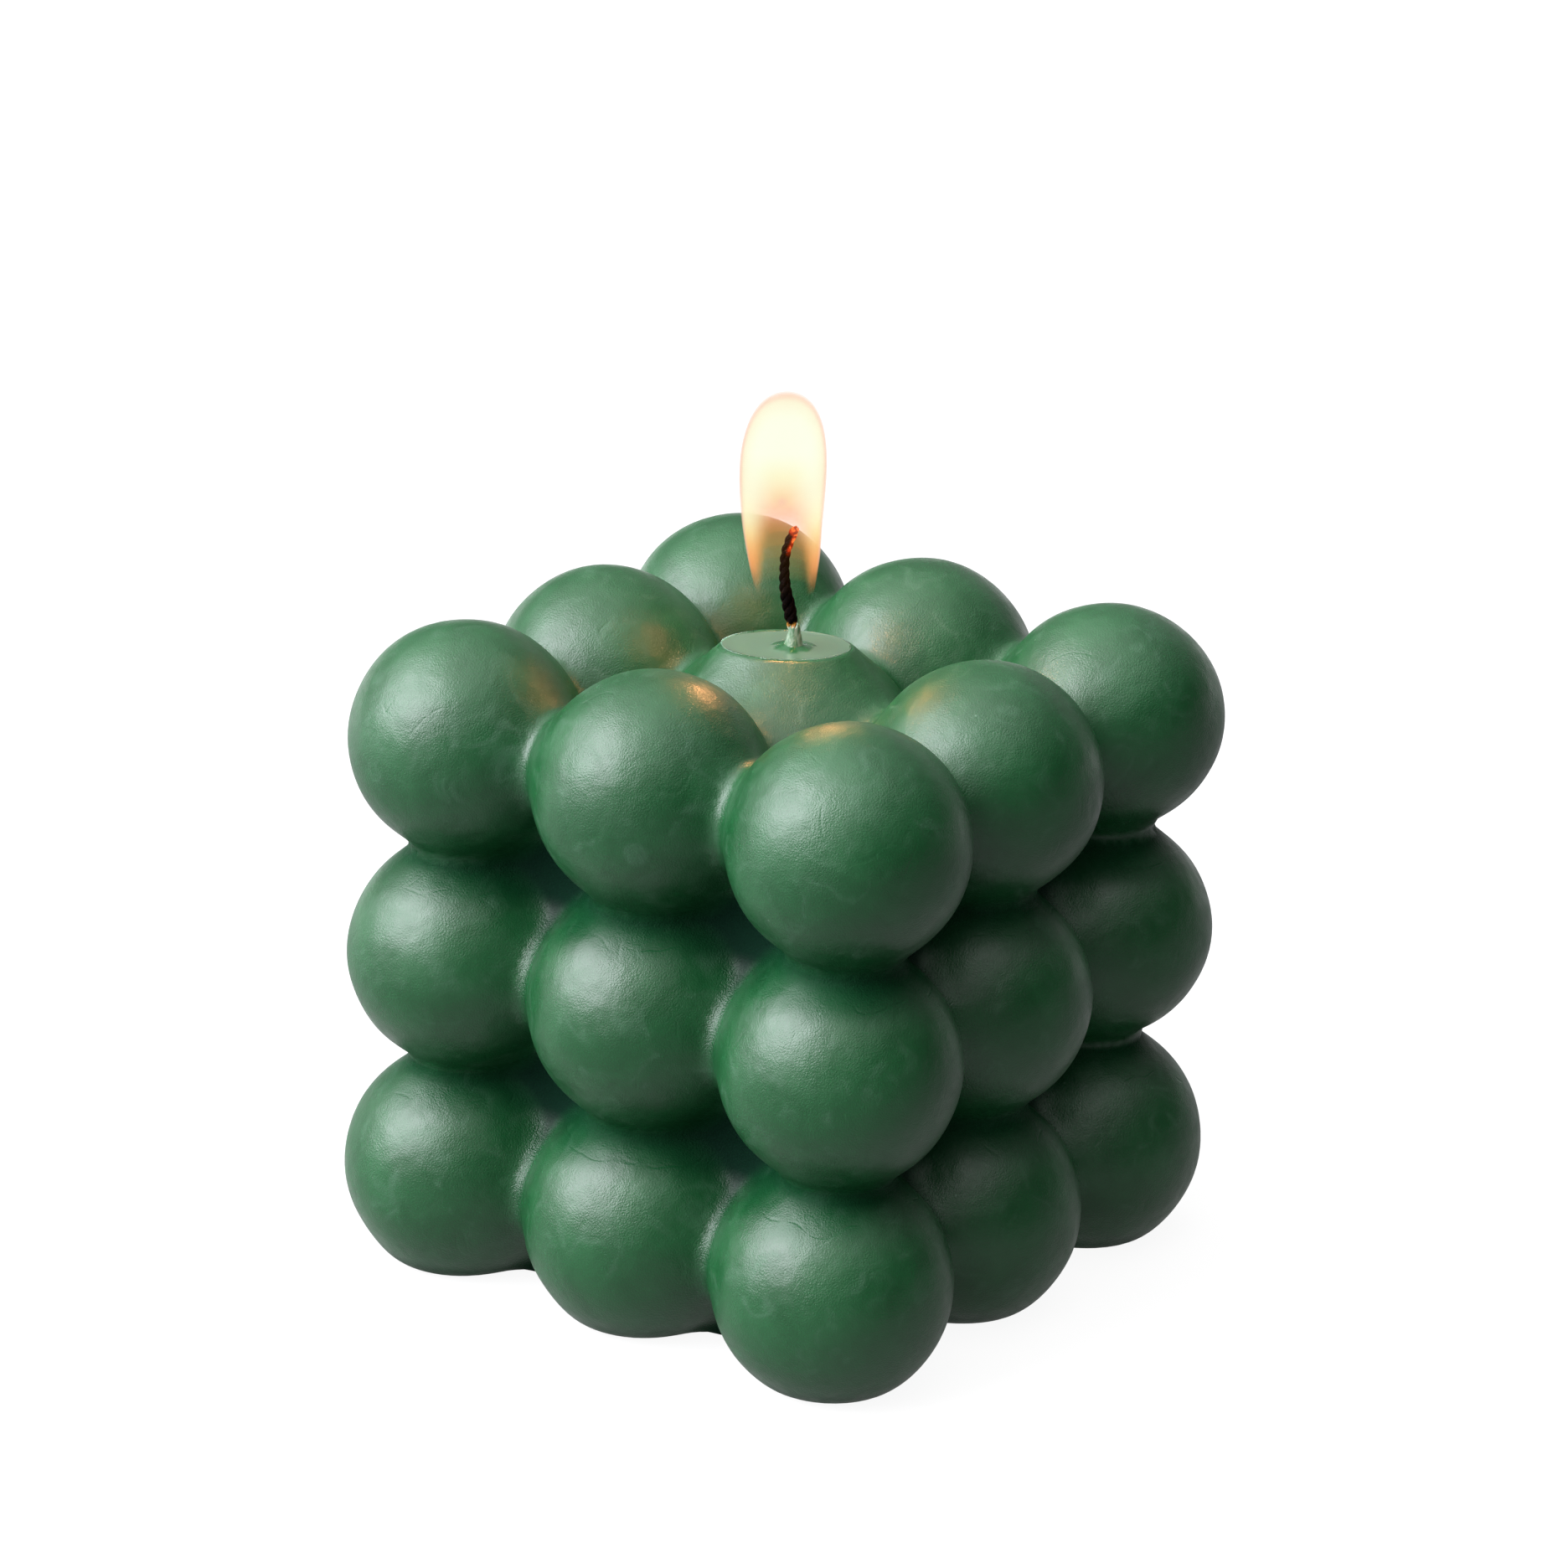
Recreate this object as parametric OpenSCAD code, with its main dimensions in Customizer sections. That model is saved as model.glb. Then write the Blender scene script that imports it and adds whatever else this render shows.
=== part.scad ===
// Bubble cube candle: three by three by three balls of wax cast in one piece, lit,
// with a melted top ball, a curved cotton wick and its flame.
// Millimetres. The origin is the middle of the flat base and +Z points up.

/* [Balls] */
// Diameter of one ball
ball_d = 20.4; // [16:0.1:26]
// How far neighbouring balls of one layer run into each other
side_overlap = 0.6; // [0.2:0.1:1.2]
// How far a ball runs into the one above it
layer_overlap = 0.9; // [0.2:0.1:1.5]
// Diameter of the filleted waist between two neighbouring balls
waist_d = 10.2; // [9:0.1:12]
// Height cut off the bottom balls by the flat base
base_cut = 1.4; // [0.6:0.1:4]
// Depth of the flat webs behind the centres of the outer balls
web_inset = 0.5; // [0.3:0.1:3]

/* [Melted top] */
// Height that has burnt away from the middle ball of the top layer
melt_cut = 2.6; // [2:0.1:4]
// Outside diameter of the rim round the melt
rim_d = 11.6; // [10:0.1:12]
// Width of the rim's lip
rim_w = 0.3; // [0.2:0.05:0.8]
// Slope of the slumped shoulder below the rim, in degrees from level
shoulder_slope = 45; // [38:1:52]
// Depth of the dish in its middle
dish_depth = 1.3; // [0.8:0.1:2.4]
// Height of the rim above the liquid wax
pool_drop = 0.15; // [0.05:0.05:0.4]
// Height that the liquid climbs up the wick
meniscus = 0.5; // [0.2:0.05:0.9]

/* [Wick] */
// Diameter of the cotton wick
wick_d = 1.3; // [1:0.1:2]
// Radial clearance between the wick and the wax round it
wick_fit = 0.02; // [0.01:0.01:0.1]
// Height of the wick's tip above the liquid wax
wick_h = 10.9; // [8:0.1:15]
// Sideways reach of the wick's bend
wick_reach = 1; // [0.4:0.1:1.4]
// Length of wick in which the strands make one turn
strand_lay = 4.2; // [3:0.1:8]
// Direction in which the wick and the flame lean, in degrees from +X
lean_angle = 125; // [0:5:355]

/* [Flame] */
// Height of the flame from the ends of its skirt to its top
flame_h = 18.3; // [14:0.1:26]
// Diameter of the flame at its widest
flame_d = 7.7; // [6.8:0.1:10]
// Diameter of the flame at the ends of its skirt
skirt_d = 4.9; // [4.6:0.1:6]
// Thickness of the flame's skirt at its ends
skirt_t = 0.3; // [0.2:0.05:0.5]
// Length of wick that stands inside the flame
wick_in_flame = 5.4; // [3:0.1:7]
// Clear height between the wick's tip and the flame above it
flame_gap = 0.5; // [0.3:0.1:0.9]
// Lean of the flame from upright, in degrees
flame_lean = 2; // [0:0.5:5]

/* [Hidden] */

$fn = 48;

WAX = [0.17, 0.40, 0.28];
LIQUID = [0.30, 0.50, 0.40];
CHAR = [0.12, 0.08, 0.07];
GLOW = [1.00, 0.82, 0.45];

// Balls along each side of the cube, with a ball in the middle
SIDE = 3;
// Steps from the middle ball to the outer ones
STEPS = [for (i = [0 : SIDE - 1]) i - (SIDE - 1) / 2];
OUTER = max(STEPS);

ball_r = ball_d / 2;
pitch = ball_d - side_overlap;
layer_pitch = ball_d - layer_overlap;
waist_r = waist_d / 2;
// The waist's arc runs under the ball's skin by this much, so that it crosses it cleanly
arc_sink = 0.03;
// Length of the waist's ends that is buried in the balls
waist_bury = 0.25;

base_to_centre = ball_r - base_cut;
function layer_z(k) = base_to_centre + (k + OUTER) * layer_pitch;
top_z = layer_z(OUTER);
core_half = OUTER * pitch - web_inset;
core_top = top_z - web_inset;

rim_r = rim_d / 2;
rim_z = top_z + ball_r - melt_cut;
dish_r = rim_r - rim_w;
dish_sphere_r = (dish_r * dish_r + dish_depth * dish_depth) / (2 * dish_depth);
dish_sphere_z = rim_z - dish_depth + dish_sphere_r;
pool_z = rim_z - pool_drop;

wick_r = wick_d / 2;
channel_r = wick_r + wick_fit;
tip_z = pool_z + wick_h;

// Route of the bare wick: sideways as shares of wick_reach, upwards as shares of wick_h
WICK_ROUTE = [
    [0, -0.06], [0, 0], [0.08, 0.12], [0.4, 0.3], [0.85, 0.48],
    [1, 0.64], [0.95, 0.78], [0.6, 0.9], [0.1, 1]
];
STRANDS = 3;
// Depth of the groove between strands, as a share of the wick's radius
STRAND_GROOVE = 0.2;
// The braid keeps inside the smooth wick below the liquid by this share
BRAID_SHARE = 0.96;
RING_SIDES = 18;
RINGS_PER_SPAN = 7;
// Rings over which the charred tip is rounded
TIP_RINGS = 6;

skirt_z = tip_z - wick_in_flame;
FLAME_STEPS = 14;
cos_skirt = skirt_d / 2;
// Height at which the flame is widest, and the fullness of its shoulders and top
WIDEST = 0.61;
SHOULDER = 0.84;
TOP_FULLNESS = 0.68;
HOLLOW_STEPS = 10;

// Point of a cubic curve with the corners a, b, c and d
function cubic(a, b, c, d, t) =
    pow(1 - t, 3) * a + 3 * t * pow(1 - t, 2) * b + 3 * t * t * (1 - t) * c + pow(t, 3) * d;

// Radius of the concave arc that joins two balls whose centres are a distance apart
function waist_arc(apart) =
    let (under = ball_r - arc_sink)
    (waist_r * waist_r + apart * apart / 4 - under * under) / (2 * (under - waist_r));

// One filleted waist between two balls, along Z, centred between them
module waist(apart) {
    arc = waist_arc(apart);
    contact = atan2(waist_r + arc, apart / 2);
    spool_r = ball_r * sin(contact);
    spool_h = 2 * (apart / 2 - ball_r * cos(contact) + waist_bury);
    rotate_extrude()
        difference() {
            translate([0, -spool_h / 2]) square([spool_r, spool_h]);
            translate([waist_r + arc, 0]) circle(arc);
        }
}

// True where a ball of the cube can be seen, which leaves out the hidden middle one
function is_outer(i, j, k) = abs(i) == OUTER || abs(j) == OUTER || abs(k) == OUTER;

// The melted ball is shaped by itself
function is_melted(i, j, k) = i == 0 && j == 0 && k == OUTER;

module ball_lattice() {
    for (i = STEPS, j = STEPS, k = STEPS)
        if (is_outer(i, j, k) && !is_melted(i, j, k))
            translate([i * pitch, j * pitch, layer_z(k)]) sphere(ball_r);
}

// Waists between balls that are neighbours in one layer or one above the other
module waist_lattice() {
    for (i = STEPS, j = STEPS, k = STEPS) {
        if (i < OUTER && (abs(j) == OUTER || abs(k) == OUTER))
            translate([(i + 0.5) * pitch, j * pitch, layer_z(k)]) rotate([0, 90, 0]) waist(pitch);
        if (j < OUTER && (abs(i) == OUTER || abs(k) == OUTER))
            translate([i * pitch, (j + 0.5) * pitch, layer_z(k)]) rotate([90, 0, 0]) waist(pitch);
        if (k < OUTER && (abs(i) == OUTER || abs(j) == OUTER))
            translate([i * pitch, j * pitch, layer_z(k) + layer_pitch / 2]) waist(layer_pitch);
    }
}

// Solid wax behind the balls, whose faces show as webs in the gaps between four balls
module core() {
    translate([-core_half, -core_half, 0]) cube([2 * core_half, 2 * core_half, core_top]);
}

// Middle ball of the top layer, with its shoulder slumped towards the rim
module melted_ball() {
    shoulder_h = ball_r;
    spread = shoulder_h / tan(shoulder_slope);
    translate([0, 0, top_z])
        intersection() {
            sphere(ball_r);
            union() {
                translate([0, 0, rim_z - top_z - shoulder_h])
                    cylinder(h = shoulder_h, r1 = rim_r + spread, r2 = rim_r);
                translate([0, 0, -ball_r]) cylinder(h = ball_r, r = ball_d);
            }
        }
}

module below_base() {
    translate([-ball_d * SIDE, -ball_d * SIDE, -ball_d]) cube([2 * ball_d * SIDE, 2 * ball_d * SIDE, ball_d]);
}

module dish() {
    translate([0, 0, dish_sphere_z]) sphere(dish_sphere_r, $fn = 96);
}

module channel() {
    translate([0, 0, -ball_r]) cylinder(h = rim_z + ball_d, r = channel_r);
}

// The one casting of wax: balls, waists, webs, flat base, dish and wick channel
module candle_body() {
    color(WAX)
        difference() {
            union() {
                core();
                ball_lattice();
                waist_lattice();
                melted_ball();
            }
            below_base();
            dish();
            channel();
        }
}

// Liquid wax that fills the dish and climbs a little up the wick
module melt_pool() {
    color(LIQUID)
        difference() {
            union() {
                intersection() {
                    dish();
                    translate([0, 0, pool_z - ball_r]) cylinder(h = ball_r, r = rim_r);
                }
                translate([0, 0, pool_z])
                    rotate_extrude()
                        difference() {
                            translate([0, -pool_drop]) square([channel_r + meniscus, pool_drop + meniscus]);
                            translate([channel_r + meniscus, meniscus]) circle(meniscus);
                        }
            }
            channel();
        }
}

// Point of the wick's route, at u from 0 to 1 along the span that starts at route point s
function route_at(s, u) =
    let (
        last = len(WICK_ROUTE) - 1,
        a = WICK_ROUTE[max(s - 1, 0)],
        b = WICK_ROUTE[s],
        c = WICK_ROUTE[min(s + 1, last)],
        d = WICK_ROUTE[min(s + 2, last)],
        p = cubic(b, b + (c - a) / 6, c - (d - b) / 6, c, u)
    )
    [p[0] * wick_reach, p[1] * wick_h];

wick_line = concat(
    [for (s = [0 : len(WICK_ROUTE) - 2], n = [0 : RINGS_PER_SPAN - 1]) route_at(s, n / RINGS_PER_SPAN)],
    [route_at(len(WICK_ROUTE) - 2, 1)]
);

// Radius of the wick at angle a of ring n: round strands that turn as the wick rises
function strand_r(n, a) =
    let (
        turn = 360 * wick_line[n][1] / strand_lay,
        lobe = abs(cos(STRANDS * (a - turn) / 2)),
        to_tip = (len(wick_line) - 1 - n) / TIP_RINGS,
        ease = sqrt(1 - pow(1 - min(to_tip + 0.12, 1), 2))
    )
    wick_r * BRAID_SHARE * ease * (1 - STRAND_GROOVE * (1 - lobe));

// One ring of the wick, square to its route
function wick_ring(n) =
    let (
        before = wick_line[max(n - 1, 0)],
        after = wick_line[min(n + 1, len(wick_line) - 1)],
        along = (after - before) / norm(after - before)
    )
    [for (k = [0 : RING_SIDES - 1])
        let (a = 360 * k / RING_SIDES, r = strand_r(n, a))
        [wick_line[n][0] + r * cos(a) * along[1], r * sin(a), wick_line[n][1] - r * cos(a) * along[0]]];

// The bare wick above the liquid, with its strands
module braid() {
    rings = len(wick_line);
    points = [for (n = [0 : rings - 1], p = wick_ring(n)) p];
    sides = [for (n = [0 : rings - 2], k = [0 : RING_SIDES - 1])
        let (next = (k + 1) % RING_SIDES, low = n * RING_SIDES, high = low + RING_SIDES)
        each [[low + k, high + k, high + next], [low + k, high + next, low + next]]];
    foot = [for (k = [0 : RING_SIDES - 1]) k];
    tip = [for (k = [RING_SIDES - 1 : -1 : 0]) (rings - 1) * RING_SIDES + k];
    rotate([0, 0, lean_angle]) translate([0, 0, pool_z]) polyhedron(points, concat(sides, [foot, tip]));
}

// One cotton cord from the base to the charred tip
module wick() {
    color(CHAR)
        union() {
            cylinder(h = pool_z, r = wick_r);
            braid();
        }
}

// Outer line of the flame, from the end of its skirt to its top
flame_outside = concat(
    [for (n = [0 : FLAME_STEPS - 1])
        cubic([cos_skirt, 0], [skirt_d * 0.61, flame_h * 0.2], [flame_d / 2, flame_h * 0.41],
            [flame_d / 2, flame_h * WIDEST], n / FLAME_STEPS)],
    [for (n = [0 : FLAME_STEPS])
        cubic([flame_d / 2, flame_h * WIDEST], [flame_d / 2, flame_h * SHOULDER],
            [flame_d / 2 * TOP_FULLNESS, flame_h], [0, flame_h], n / FLAME_STEPS)]
);

hollow_h = wick_in_flame + flame_gap;
hollow_r = cos_skirt - skirt_t;

// Inner line of the flame, round the dark space that holds the wick
flame_inside = [for (n = [0 : HOLLOW_STEPS])
    cubic([0, hollow_h], [hollow_r, hollow_h], [hollow_r, hollow_h * 0.6], [hollow_r, 0], n / HOLLOW_STEPS)];

// The glowing gas, as a bell that hangs over the wick
module flame() {
    color(GLOW)
        rotate([0, 0, lean_angle])
            translate([wick_reach, 0, skirt_z])
                rotate([0, flame_lean, 0])
                    rotate_extrude() polygon(concat(flame_outside, flame_inside));
}

candle_body();
melt_pool();
wick();
flame();
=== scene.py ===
"""The looks of a lit bubble cube candle: its wax casting, liquid wax, wick, flame and a small studio.

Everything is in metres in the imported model's frame: +Z up, with the origin in the middle of the flat base.
"""

import logging
import math
from dataclasses import dataclass, field
from enum import Enum
from typing import Union

import bmesh
import bpy
import numpy as np
from mathutils import Matrix, Vector, noise


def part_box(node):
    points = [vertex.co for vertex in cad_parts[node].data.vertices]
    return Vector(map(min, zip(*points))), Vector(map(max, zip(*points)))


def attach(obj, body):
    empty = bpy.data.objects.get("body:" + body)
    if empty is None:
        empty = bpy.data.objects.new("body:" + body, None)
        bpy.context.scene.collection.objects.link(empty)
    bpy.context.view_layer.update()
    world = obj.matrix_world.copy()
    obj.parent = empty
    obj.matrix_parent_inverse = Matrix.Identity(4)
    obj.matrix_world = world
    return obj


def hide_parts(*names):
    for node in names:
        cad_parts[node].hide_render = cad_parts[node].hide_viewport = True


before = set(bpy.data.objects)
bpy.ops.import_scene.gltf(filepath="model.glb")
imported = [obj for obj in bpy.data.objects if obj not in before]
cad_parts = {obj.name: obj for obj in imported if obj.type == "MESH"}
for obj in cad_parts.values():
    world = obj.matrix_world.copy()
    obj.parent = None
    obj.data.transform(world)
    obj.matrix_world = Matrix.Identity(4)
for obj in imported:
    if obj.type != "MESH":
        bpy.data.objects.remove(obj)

MM = 0.001
LOG = logging.getLogger("bubble_cube_candle")
# Height of the flame's light above the rim
FLAME_MIDDLE = 14.0 * MM

# What may be fed to a node's input: another node's output, or a value of its own
Source = Union[bpy.types.NodeSocket, float, tuple, Vector]

# Level directions as the viewer sees them: to the right, and away from the viewer
RIGHTWARDS = np.array([0.569, -0.822, 0.0])
AWAY = np.array([0.822, 0.569, 0.0])
# Level direction in which the wick and the flame lean
LEAN = np.array([-0.574, 0.819, 0.0])


class Slot(Enum):
    """The record's material slots."""

    WAX = "wax"
    LIQUID = "liquid_wax"
    COTTON = "wick_cotton"
    GLOW = "flame_glow"


def smooth_min(values: list[np.ndarray], blend: float) -> np.ndarray:
    """Blends several distance fields into their rounded union.

    Args:
        values: Distances to each shape, one array for each.
        blend: Length over which the shapes run into each other.

    Returns:
        The distance to the blended shape.
    """
    total = sum(np.exp(-value / blend) for value in values)
    return -blend * np.log(total)


def smooth_max(values: list[np.ndarray], blend: float) -> np.ndarray:
    """Blends several distance fields into their rounded intersection.

    Args:
        values: Distances to each shape, one array for each.
        blend: Length over which the edge between the shapes is rounded.

    Returns:
        The distance to the blended shape.
    """
    top = np.maximum.reduce(values)
    total = sum(np.exp((value - top) / blend) for value in values)
    return top + blend * np.log(total)


def smooth_step(low: float, high: float, value: np.ndarray | float) -> np.ndarray | float:
    """Rises smoothly from 0 to 1 between two values.

    Args:
        low: Value at which the rise starts.
        high: Value at which the rise ends.
        value: Where to read it.

    Returns:
        Shares from 0 to 1.
    """
    share = np.clip((value - low) / (high - low), 0.0, 1.0)
    return share * share * (3.0 - 2.0 * share)


def bezier(marks: np.ndarray, *corners: tuple[float, float]) -> np.ndarray:
    """Draws a cubic curve in a plane.

    Args:
        marks: Shares of the way along it, as a column.
        corners: Its start, its two handles and its end.

    Returns:
        The points there, as rows.
    """
    start, leave, arrive, end = (np.array(corner) for corner in corners)
    rest = 1 - marks
    return (
        rest ** 3 * start + 3 * marks * rest ** 2 * leave
        + 3 * marks * marks * rest * arrive + marks ** 3 * end
    )


def vertex_array(mesh: bpy.types.Mesh) -> np.ndarray:
    """Reads a mesh's vertices.

    Args:
        mesh: The mesh.

    Returns:
        Rows of x, y and z.
    """
    flat = np.empty(len(mesh.vertices) * 3)
    mesh.vertices.foreach_get("co", flat)
    return flat.reshape(-1, 3)


def move_vertices(mesh: bpy.types.Mesh, points: np.ndarray) -> None:
    """Puts a mesh's vertices at the given points."""
    mesh.vertices.foreach_set("co", points.astype(np.float32).ravel())
    mesh.update()


def paint_attribute(mesh: bpy.types.Mesh, name: str, values: np.ndarray) -> None:
    """Stores one number, or one colour, for each vertex under a name that a material can read.

    Args:
        mesh: The mesh that gets the attribute.
        name: The attribute's name.
        values: One number a vertex, or rows of four for a colour.
    """
    if values.ndim == 1:
        layer = mesh.attributes.new(name, "FLOAT", "POINT")
        layer.data.foreach_set("value", values.astype(np.float32))
    else:
        layer = mesh.attributes.new(name, "FLOAT_COLOR", "POINT")
        layer.data.foreach_set("color", values.astype(np.float32).ravel())


def noise_at(points: np.ndarray, size: float, seed: float) -> np.ndarray:
    """Reads smooth noise at points.

    Args:
        points: Rows of x, y and z.
        size: Length of one swell of the noise.
        seed: Shifts the noise, so that two calls differ.

    Returns:
        Values around 0, mostly within 0.6 of it.
    """
    shift = Vector((seed * 17.3, seed * 5.7, seed * 11.9))
    return np.array([noise.noise(Vector(p) / size + shift) for p in points])


def spin_round(bm: bmesh.types.BMesh, profile: list[bmesh.types.BMVert], turns: int) -> None:
    """Joins vertices into a line and spins it once round the Z axis.

    Args:
        bm: The mesh that grows.
        profile: The line's vertices, in order.
        turns: Steps round the axis.
    """
    edges = [bm.edges.new(pair) for pair in zip(profile, profile[1:])]
    bmesh.ops.spin(
        bm, geom=profile + edges, axis=(0, 0, 1), cent=(0, 0, 0), angle=math.tau,
        steps=turns, use_merge=True,
    )


def to_mesh(bm: bmesh.types.BMesh, name: str) -> bpy.types.Mesh:
    """Turns a bmesh into a mesh of its own and frees it.

    Args:
        bm: The bmesh.
        name: The mesh's name.

    Returns:
        The mesh.
    """
    mesh = bpy.data.meshes.new(name)
    bm.to_mesh(mesh)
    bm.free()
    return mesh


def new_object(name: str, data: bpy.types.ID) -> bpy.types.Object:
    """Makes an object and links it to the scene.

    Args:
        name: The object's name.
        data: Its mesh, curve, light or camera.

    Returns:
        The object.
    """
    made = bpy.data.objects.new(name, data)
    bpy.context.scene.collection.objects.link(made)
    return made


def take_mesh(scratch: bpy.types.Object) -> bpy.types.Mesh:
    """Takes the mesh that an object shows, modifiers and all, and deletes the object.

    Args:
        scratch: The object.

    Returns:
        The mesh.
    """
    seen = scratch.evaluated_get(bpy.context.evaluated_depsgraph_get())
    mesh = bpy.data.meshes.new_from_object(seen)
    bpy.data.objects.remove(scratch)
    return mesh


def new_piece(name: str, mesh: bpy.types.Mesh, material: bpy.types.Material) -> bpy.types.Object:
    """Makes a smooth-shaded object at the origin from a finished mesh.

    Args:
        name: The piece's name.
        mesh: Its mesh, already in place.
        material: Its finish.

    Returns:
        The object, linked to the scene.
    """
    mesh.name = name
    piece = new_object(name, mesh)
    mesh.materials.clear()
    mesh.materials.append(material)
    mesh.polygons.foreach_set("use_smooth", [True] * len(mesh.polygons))
    return piece


def hand_over(piece: bpy.types.Object, node: str) -> None:
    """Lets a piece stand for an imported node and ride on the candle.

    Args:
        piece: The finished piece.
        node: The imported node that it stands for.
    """
    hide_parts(node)
    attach(piece, "root")
    faces = sum(len(p.vertices) - 2 for p in piece.data.polygons)
    LOG.info("%s: %d triangles, stands for %s", piece.name, faces, node)


class Graph:
    """A node tree with short ways to add and join its nodes."""

    def __init__(self, tree: bpy.types.NodeTree) -> None:
        """Empties the tree and starts from it."""
        self.tree = tree
        self.tree.nodes.clear()

    def node(self, kind: str, settings: dict | None = None, **inputs: Source) -> bpy.types.Node:
        """Adds a node.

        Args:
            kind: The node's type, without its ShaderNode prefix.
            settings: Properties of the node itself.
            inputs: Values or sockets for its inputs, with spaces in names written as _.

        Returns:
            The new node.
        """
        made = self.tree.nodes.new("ShaderNode" + kind)
        for key, value in (settings or {}).items():
            setattr(made, key, value)
        for key, value in inputs.items():
            self.feed(made.inputs[key.replace("_", " ")], value)
        return made

    def feed(self, socket: bpy.types.NodeSocket, value: Source) -> None:
        """Links an input to another node's output, or sets its own value.

        Args:
            socket: The input.
            value: The output to link, or the value.
        """
        if isinstance(value, bpy.types.NodeSocket):
            self.tree.links.new(value, socket)
        else:
            socket.default_value = value

    def math(
        self, operation: str, first: Source, second: Source = 0.0, third: Source = 0.0
    ) -> bpy.types.NodeSocket:
        """Adds a Math node.

        Args:
            operation: What it works out.
            first: Its first number.
            second: Its second number.
            third: Its third number, which few operations use.

        Returns:
            The result.
        """
        made = self.tree.nodes.new("ShaderNodeMath")
        made.operation = operation
        for socket, value in zip(made.inputs, (first, second, third)):
            self.feed(socket, value)
        return made.outputs[0]

    def spread(
        self, value: Source, low: float, high: float, to_low: float = 0.0, to_high: float = 1.0
    ) -> bpy.types.NodeSocket:
        """Maps a range of a value smoothly to another range, held at its ends.

        Args:
            value: The value.
            low: Where its range starts.
            high: Where its range ends.
            to_low: Result at the start and below.
            to_high: Result at the end and above.

        Returns:
            The result.
        """
        made = self.node("MapRange", {"interpolation_type": "SMOOTHSTEP"})
        for name, number in (("Value", value), ("From Min", low), ("From Max", high),
                             ("To Min", to_low), ("To Max", to_high)):
            self.feed(made.inputs[name], number)
        return made.outputs["Result"]

    def blend(self, share: Source, first: Source, second: Source) -> bpy.types.NodeSocket:
        """Mixes two colours.

        Args:
            share: Share of the second colour, from 0 to 1.
            first: The first colour.
            second: The second colour.

        Returns:
            The mixed colour.
        """
        made = self.node("Mix", {"data_type": "RGBA"})
        self.feed(made.inputs["Factor"], share)
        self.feed(made.inputs[6], first)
        self.feed(made.inputs[7], second)
        return made.outputs[2]

    def object_point(self) -> bpy.types.NodeSocket:
        """Returns the place on the piece in the frame, in metres."""
        return self.node("TexCoord").outputs["Object"]

    def attribute(self, name: str) -> bpy.types.NodeSocket:
        """Returns a number that the piece stores for each vertex."""
        return self.node("Attribute", {"attribute_name": name}).outputs["Fac"]

    def bump(
        self, depth: float, height: Source, normal: bpy.types.NodeSocket | None = None
    ) -> bpy.types.NodeSocket:
        """Bends the surface's normal by a relief.

        Args:
            depth: Depth of the relief where its height is 1.
            height: The relief's height.
            normal: The normal to start from, where it is bent already.

        Returns:
            The bent normal.
        """
        made = self.node("Bump", Strength=1.0, Distance=depth, Height=height)
        if normal is not None:
            self.feed(made.inputs["Normal"], normal)
        return made.outputs["Normal"]

    def dot(self, point: Source, way: Vector | np.ndarray) -> bpy.types.NodeSocket:
        """Measures how far a point lies along a fixed direction.

        Args:
            point: The point, or a direction.
            way: The fixed direction.

        Returns:
            The distance along it.
        """
        made = self.node("VectorMath", {"operation": "DOT_PRODUCT"})
        self.feed(made.inputs[0], point)
        made.inputs[1].default_value = Vector(way)
        return made.outputs["Value"]

    def length(self, vector: Source) -> bpy.types.NodeSocket:
        """Measures the length of a vector."""
        return self.node("VectorMath", {"operation": "LENGTH"}, Vector=vector).outputs["Value"]

    def cloud(
        self, point: Source, size: float, detail: float = 2.0, distortion: float = 0.0
    ) -> bpy.types.NodeSocket:
        """Adds noise.

        Args:
            point: Where to read it.
            size: Length of one swell.
            detail: How many finer swells lie on it.
            distortion: How much the swells are drawn out of shape.

        Returns:
            Values from 0 to 1, mostly near a half.
        """
        made = self.node("TexNoise", Vector=point, Scale=1.0 / size, Detail=detail, Distortion=distortion)
        return made.outputs["Fac"]

    def scatter(
        self, shader: bpy.types.Node, weight: float, hue: tuple[float, float, float], length: float
    ) -> None:
        """Makes a shader translucent.

        Args:
            shader: The shader.
            weight: Share of the light that goes into the wax and comes out beside it.
            hue: How far red, green and blue go, as shares of the length.
            length: How far light goes.
        """
        shader.inputs["Subsurface Weight"].default_value = weight
        shader.inputs["Subsurface Radius"].default_value = hue
        shader.inputs["Subsurface Scale"].default_value = length

    def end(self, kind: str, light: bpy.types.NodeSocket) -> None:
        """Joins the last shader to the tree's output, of the given kind."""
        self.feed(self.node(kind).inputs["Surface"], light)


def rgba(colour: tuple[float, float, float]) -> tuple[float, float, float, float]:
    """Adds full opacity to a colour."""
    return (*colour, 1.0)


def new_material(name: str) -> tuple[bpy.types.Material, Graph]:
    """Makes a material with an empty node tree.

    Args:
        name: The material's name.

    Returns:
        The material and its tree.
    """
    made = bpy.data.materials.new(name)
    made.use_nodes = True
    return made, Graph(made.node_tree)


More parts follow.
